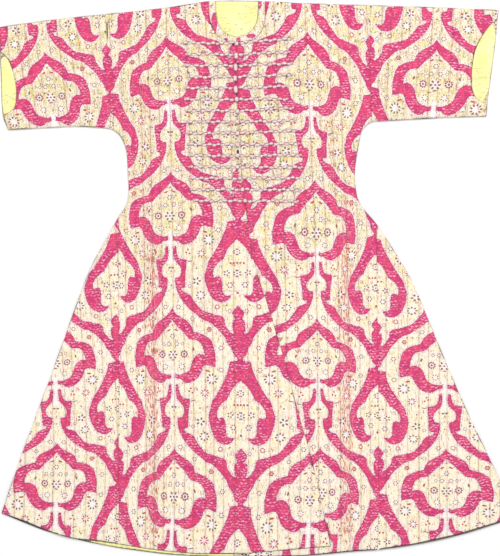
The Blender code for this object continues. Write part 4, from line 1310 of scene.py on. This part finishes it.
class Strands:
    """Tubes and knots of one frog, gathered into one mesh."""

    def __init__(self):
        self.places, self.faces, self.ply, self.count = [], [], [], 0

    def add(self, places, ply, faces):
        """Add points, what their cord reads and the faces between them."""
        self.faces.extend([[self.count + number for number in face] for face in faces])
        self.places.append(np.array(places))
        self.ply.append(np.array(ply))
        self.count += len(places)

    def tube(self, path, radii, sides=8, dark=0.0, squash=1.0):
        """A closed tube along the path."""
        path = np.asarray(path, float)
        radii = np.broadcast_to(np.asarray(radii, float), len(path))
        along = np.gradient(path, axis=0)
        along /= np.linalg.norm(along, axis=1)[:, None]
        side = np.cross(along, (0.0, 0.0, 1.0))
        side /= np.linalg.norm(side, axis=1)[:, None]
        up = np.cross(side, along)
        turns = np.arange(sides)[:, None] / sides * math.tau
        out = np.cos(turns) * side[:, None] + squash * np.sin(turns) * up[:, None]
        rings = path[:, None] + radii[:, None, None] * out
        tips = [path[0] - along[0] * radii[0] * 0.4, path[-1] + along[-1] * radii[-1] * 0.4]
        run = np.concatenate([[0], np.cumsum(np.linalg.norm(np.diff(path, axis=0), axis=1))])
        round_share = np.tile(np.abs(2 * np.arange(sides) / sides - 1), len(path))
        ply = np.stack([np.repeat(run, sides), round_share, np.full(len(path) * sides, dark)], 1)
        here = np.arange((len(path) - 1) * sides)
        beside = here - here % sides + (here + 1) % sides
        faces = np.stack([here, here + sides, beside + sides, beside], 1).tolist()
        last, tip = (len(path) - 1) * sides, len(path) * sides
        for number in range(sides):
            after = (number + 1) % sides
            faces += [[number, after, tip], [last + after, last + number, tip + 1]]
        self.add(
            np.vstack([rings.reshape(-1, 3), tips]),
            np.vstack([ply, (0, 0.5, dark), (run[-1], 0.5, dark)]), faces)

    def knot(self, middle, along, radius, stretch, turns=5, dark=0.0):
        """A round knot whose cord is wound over it in slanting ridges."""
        rings, sides = 13, 20
        middle, along, up = np.asarray(middle), np.asarray(along, float), np.array((0, 0, 1.0))
        side = np.cross(along, up)
        places, ply, faces = [], [], []
        for ring, number in itertools.product(range(rings), range(sides)):
            fall, turn = math.pi * (ring + 0.5) / rings, math.tau * number / sides
            wound = abs(math.sin(turns * turn / 2 + 2.4 * fall)) * abs(
                math.sin(turns * turn / 2 - 2.4 * fall))
            reach = radius * (0.86 + 0.2 * math.sqrt(wound))
            out = math.sin(fall) ** 0.6 * reach
            # Painted shadow at the knot's two ends and in the furrows between its windings
            shadow = 0.85 * ramp(abs(math.cos(fall)), 0.72, 0.97) + 0.5 * ramp(-wound, -0.16, 0)
            places.append(
                middle + along * (math.cos(fall) * reach * stretch)
                + side * (out * math.cos(turn)) + up * (out * math.sin(turn)))
            ply.append((0.0, 0.5 * math.sqrt(wound), min(0.9, max(dark, shadow))))
            if ring < rings - 1:
                here, beside = ring * sides + number, ring * sides + (number + 1) % sides
                faces.append([here, beside, beside + sides, here + sides])
        faces.append(list(range(sides))[::-1])
        faces.append(list(range((rings - 1) * sides, rings * sides)))
        self.add(places, ply, faces)

    def piece(self, name, material, node):
        """Make the finished object in place of its node."""
        made = new_mesh_object(name, np.vstack(self.places), self.faces)
        give(made.data, "ply", np.vstack(self.ply))
        dress(made, material, node)


def braid(strands, start, end, settings, level):
    """A flat braid of two crossing strands over a core, with a knot at its outer end."""
    start, end = np.array((*start, 0.0)), np.array((*end, 0.0))
    length = np.linalg.norm(end - start)
    along = (end - start) / length
    side = np.array((-along[1], along[0], 0.0))
    links = max(3, round(length / settings.link_length))
    run = np.linspace(0.3 * settings.link_length, length, links * 8 + 1)
    turn = math.pi * (run - run[0]) / (run[-1] - run[0]) * links
    turn = turn + 0.35 * np.sin(turn * 0.37 + 300 * start[1])
    thick = settings.strand_radius
    sway = np.sin(turn) * np.abs(np.sin(turn)) + 0.6 * np.sin(turn * 0.21 + 500 * start[1])
    plump = 1 + 0.16 * np.sin(turn * 0.61 + 700 * start[1])
    middle = start + run[:, None] * along + (settings.sway * sway)[:, None] * side
    for hand in (-1, 1):
        across = hand * (settings.half_width - thick) * np.sin(turn) * plump
        path = middle + across[:, None] * side
        path[:, 2] = level + 2.2 * thick + 0.6 * thick * np.cos(turn) * hand
        # The strands are tinted dark, one far more than the other; the dark also stands in for the
        # shadow lines along the links' edges
        strands.tube(path, thick * (1.15 - 0.1 * hand), 7, dark=0.52 - 0.34 * hand)
    core = middle.copy()
    core[:, 2] = level + 1.5 * thick
    bulge = 0.55 + 0.45 * np.abs(np.sin(turn)) * plump
    strands.tube(core, 0.82 * (settings.half_width - 1.9 * thick) * bulge, 8, squash=0.30)
    knot = start + along * 3.0 * MM + np.array((0, 0, level + 1.8 * MM))
    strands.knot(knot, along, 2.7 * MM, 1.25, 5, dark=0.3)


# ---------------------------------------------------------------- operators

CHART = Chart()


def make_panels(scene, names, level, thick, step, underside=False):
    """The woven sheets of one side of the garment."""
    material = finish_of("quilted_brocade", brocade, scene.caftan_colours)
    for name in names:
        piece, outline = woven_sheet(name, level, thick, scene.caftan_cloth, step, underside)
        dress(piece, material, name)
        declare_sheet(outline)
    return {"FINISHED"}


class CAFTAN_OT_back_cloth(bpy.types.Operator):
    """Make the back, its gores and the backs of the sleeves, seen from below"""

    bl_idname = "caftan.back_cloth"
    bl_label = "Back cloth"

    def execute(self, context):
        scene = context.scene
        step = scene.caftan_cloth.back_step
        return make_panels(scene, BACK_PANELS, 0.0, BACK_THICK, step, underside=True)


class CAFTAN_OT_lining(bpy.types.Operator):
    """Make the lining where the neck, the cuffs and the hem leave it in sight"""

    bl_idname = "caftan.lining"
    bl_label = "Lining"

    def execute(self, context):
        material = finish_of("lining_silk", lining_silk, context.scene.caftan_colours)
        for name in ("lining_neck", "lining_cuff_l", "lining_cuff_r", "lining_hem"):
            piece, outline, flat, rim = plain_sheet(
                name, LINING_LEVEL, LINING_THICK, LINING_STEP,
                lambda flat, rim: 0.25 * MM * np.sin(flat[:, 0] * 190 + 2 * np.sin(flat[:, 1] * 90))
                - 0.5 * MM * (1 - np.clip(rim / (2.5 * MM), 0, 1)) ** 2)
            x, _ = to_units(flat)
            # Painted shadow along the lining's rim: all round at the hem, strongest on the right at the
            # neck, none at the cuffs
            shaded = {"lining_hem": 1.0, "lining_neck": np.clip((x - 240) / 15, 0.3, 1)}.get(name, 0.0)
            give(piece.data, "shade", shaded * (1 - np.clip(rim / (1.0 * MM), 0, 1)))
            dress(piece, material, name)
            declare_sheet(outline)
        return {"FINISHED"}


class CAFTAN_OT_front_cloth(bpy.types.Operator):
    """Make the fronts, their gores and the fronts of the sleeves"""

    bl_idname = "caftan.front_cloth"
    bl_label = "Front cloth"

    def execute(self, context):
        scene = context.scene
        step = scene.caftan_cloth.front_step
        return make_panels(scene, FRONT_PANELS, FRONT_LEVEL, STITCH_THICK, step)


class CAFTAN_OT_neck_band(bpy.types.Operator):
    """Make the two halves of the narrow band round the neck"""

    bl_idname = "caftan.neck_band"
    bl_label = "Neck band"

    def execute(self, context):
        material = finish_of("quilted_brocade", brocade, context.scene.caftan_colours)
        for name in ("neck_band_l", "neck_band_r"):
            piece, outline, flat, rim = plain_sheet(
                name, FRONT_LEVEL, BAND_THICK - 0.6 * MM, BAND_STEP,
                lambda flat, rim: 1.0 * MM * np.sqrt(np.clip(rim / (6 * MM), 0, 1))
                - 0.5 * MM * (1 - np.clip(rim / (2 * MM), 0, 1)) ** 2)
            x, y = to_units(flat)
            none, corners = np.zeros(len(x)), len(piece.data.loops)
            for attribute, values in {
                    "grain": np.column_stack([x * UNIT, y * UNIT, none]),
                    "crimson": np.min([
                        (np.hypot((x - left) / wide, (y - top) / high) - 1) * min(wide, high)
                        for left, top, wide, high in BAND_SPOTS], axis=0),
                    "stitch": np.column_stack([none + 0.5, none + 9.0, none]),
                    "rim": rim / UNIT, "wear_and_shade": none + 0.2, "white_stem": none}.items():
                give(piece.data, attribute, values)
            give(piece.data, "flower", np.zeros((corners, 3)) + (9.0, 9.0, 0.0), "CORNER")
            dress(piece, material, name)
            declare_sheet(outline)
        return {"FINISHED"}


class CAFTAN_OT_frogs(bpy.types.Operator):
    """Make the rows of braided frogs with their buttons and loops"""

    bl_idname = "caftan.frogs"
    bl_label = "Frogs"

    def execute(self, context):
        settings = context.scene.caftan_frogs
        material = finish_of("cord_silk", cord_silk, context.scene.caftan_colours)
        height = FROG_LEVEL + settings.button_radius
        for number, (left, right, rise, button, hang) in enumerate(FROG_ROWS, start=1):
            y = FROG_TOP_Y - FROG_PITCH * (number - 1)
            middle = np.array((opening_x(y), y)) * MM
            strands = Strands()
            braid(strands, np.array((-left, y)) * MM, middle - (LEFT_GAP, 0), settings, FROG_LEVEL)
            shank = [(middle[0] - back * MM, middle[1], FROG_LEVEL + up * MM) for back, up in SHANK]
            shank.append((middle[0] - SHANK_END, middle[1], height))
            strands.tube(shank, settings.strand_radius, 8)
            strands.knot(
                (middle[0], middle[1] - hang * MM, height), (0, 1.0, 0), settings.button_radius,
                button * MM / settings.button_radius, 6)
            strands.piece(f"frog_left_{number:02d}", material, f"frog_l_{number:02d}")

            outer = np.array((right, y + rise)) * MM
            toward = (middle - outer) / np.linalg.norm(middle - outer)
            strands = Strands()
            braid(strands, outer, middle - toward * RIGHT_GAP, settings, FROG_LEVEL)
            turns = np.linspace(0, math.tau, 25)
            loop = np.stack([
                middle[0] + LOOP_HALF_WIDTH * np.cos(turns),
                middle[1] - hang * MM + (button + LOOP_SPARE) * MM * np.sin(turns),
                np.full(25, FROG_LEVEL + 1.0 * MM)], 1)
            strands.tube(loop, LOOP_RADIUS, 7, dark=0.55)
            strands.piece(f"frog_right_{number:02d}", material, f"frog_r_{number:02d}")
        return {"FINISHED"}


class CAFTAN_OT_stage(bpy.types.Operator):
    """Make the pale floor, the soft light and the camera above"""

    bl_idname = "caftan.stage"
    bl_label = "Stage"

    def execute(self, context):
        settings = context.scene.caftan_stage
        scene = context.scene
        bpy.ops.object.select_all(action="DESELECT")
        bpy.ops.mesh.primitive_plane_add(size=FLOOR_SIZE, location=(0, 0, FLOOR_LEVEL))
        floor = context.active_object
        floor.name = "floor"
        bpy.ops.object.transform_apply(location=True)
        floor.data.materials.append(floor_paper(settings))

        world = bpy.data.worlds.new("soft_room")
        world.use_nodes = True
        world.node_tree.nodes["Background"].inputs[0].default_value = (1.0, 1.0, 1.0, 1.0)
        world.node_tree.nodes["Background"].inputs[1].default_value = settings.sky_strength
        scene.world = world

        light = bpy.data.lights.new("soft_window", "AREA")
        light.energy = settings.light_power
        light.shape = "RECTANGLE"
        light.size, light.size_y = LAMP_SIZE
        lamp = bpy.data.objects.new("soft_window", light)
        lamp.location = LAMP_PLACE
        lamp.rotation_mode = "QUATERNION"
        lamp.rotation_quaternion = (-Vector(lamp.location)).to_track_quat("-Z", "Y")
        scene.collection.objects.link(lamp)

        camera = bpy.data.cameras.new("camera")
        camera.lens = settings.lens
        camera.sensor_width = SENSOR_WIDTH
        view = bpy.data.objects.new("camera", camera)
        distance = settings.frame_height * settings.lens / camera.sensor_width
        x, y = PICTURE_MIDDLE
        view.location = ((x - MIDDLE[0]) * UNIT, (MIDDLE[1] - y) * UNIT, distance + CLOTH_TOP)
        camera.clip_end = FARTHEST
        scene.collection.objects.link(view)
        scene.camera = view
        scene.view_settings.view_transform = "Standard"
        return {"FINISHED"}


class CAFTAN_PT_pieces(bpy.types.Panel):
    """Pieces of the caftan"""

    bl_idname = "CAFTAN_PT_pieces"
    bl_label = "Quilted caftan"
    bl_space_type = "VIEW_3D"
    bl_region_type = "UI"
    bl_category = "Caftan"

    def draw(self, context):
        for operator in OPERATORS:
            self.layout.operator(operator.bl_idname)
        for group in SETTINGS:
            box = self.layout.box()
            settings = getattr(context.scene, group)
            for name in settings.__annotations__:
                box.prop(settings, name)


SETTINGS = {
    "caftan_cloth": CaftanClothSettings, "caftan_colours": CaftanColourSettings,
    "caftan_frogs": CaftanFrogSettings, "caftan_stage": CaftanStageSettings,
}
OPERATORS = (
    CAFTAN_OT_stage, CAFTAN_OT_back_cloth, CAFTAN_OT_lining, CAFTAN_OT_front_cloth, CAFTAN_OT_neck_band,
    CAFTAN_OT_frogs)
CLASSES = (*SETTINGS.values(), *OPERATORS, CAFTAN_PT_pieces)


def register():
    """Register the classes and hang the settings on the scene."""
    for kind in CLASSES:
        bpy.utils.register_class(kind)
    for name, kind in SETTINGS.items():
        setattr(bpy.types.Scene, name, bpy.props.PointerProperty(type=kind))


def unregister():
    """Take the settings and the classes away again."""
    for name in SETTINGS:
        delattr(bpy.types.Scene, name)
    for kind in reversed(CLASSES):
        bpy.utils.unregister_class(kind)


def main():
    """Build every piece in order."""
    register()
    bpy.ops.caftan.stage()
    bpy.ops.caftan.back_cloth()
    bpy.ops.caftan.lining()
    bpy.ops.caftan.front_cloth()
    bpy.ops.caftan.neck_band()
    bpy.ops.caftan.frogs()


if __name__ == "__main__":
    main()
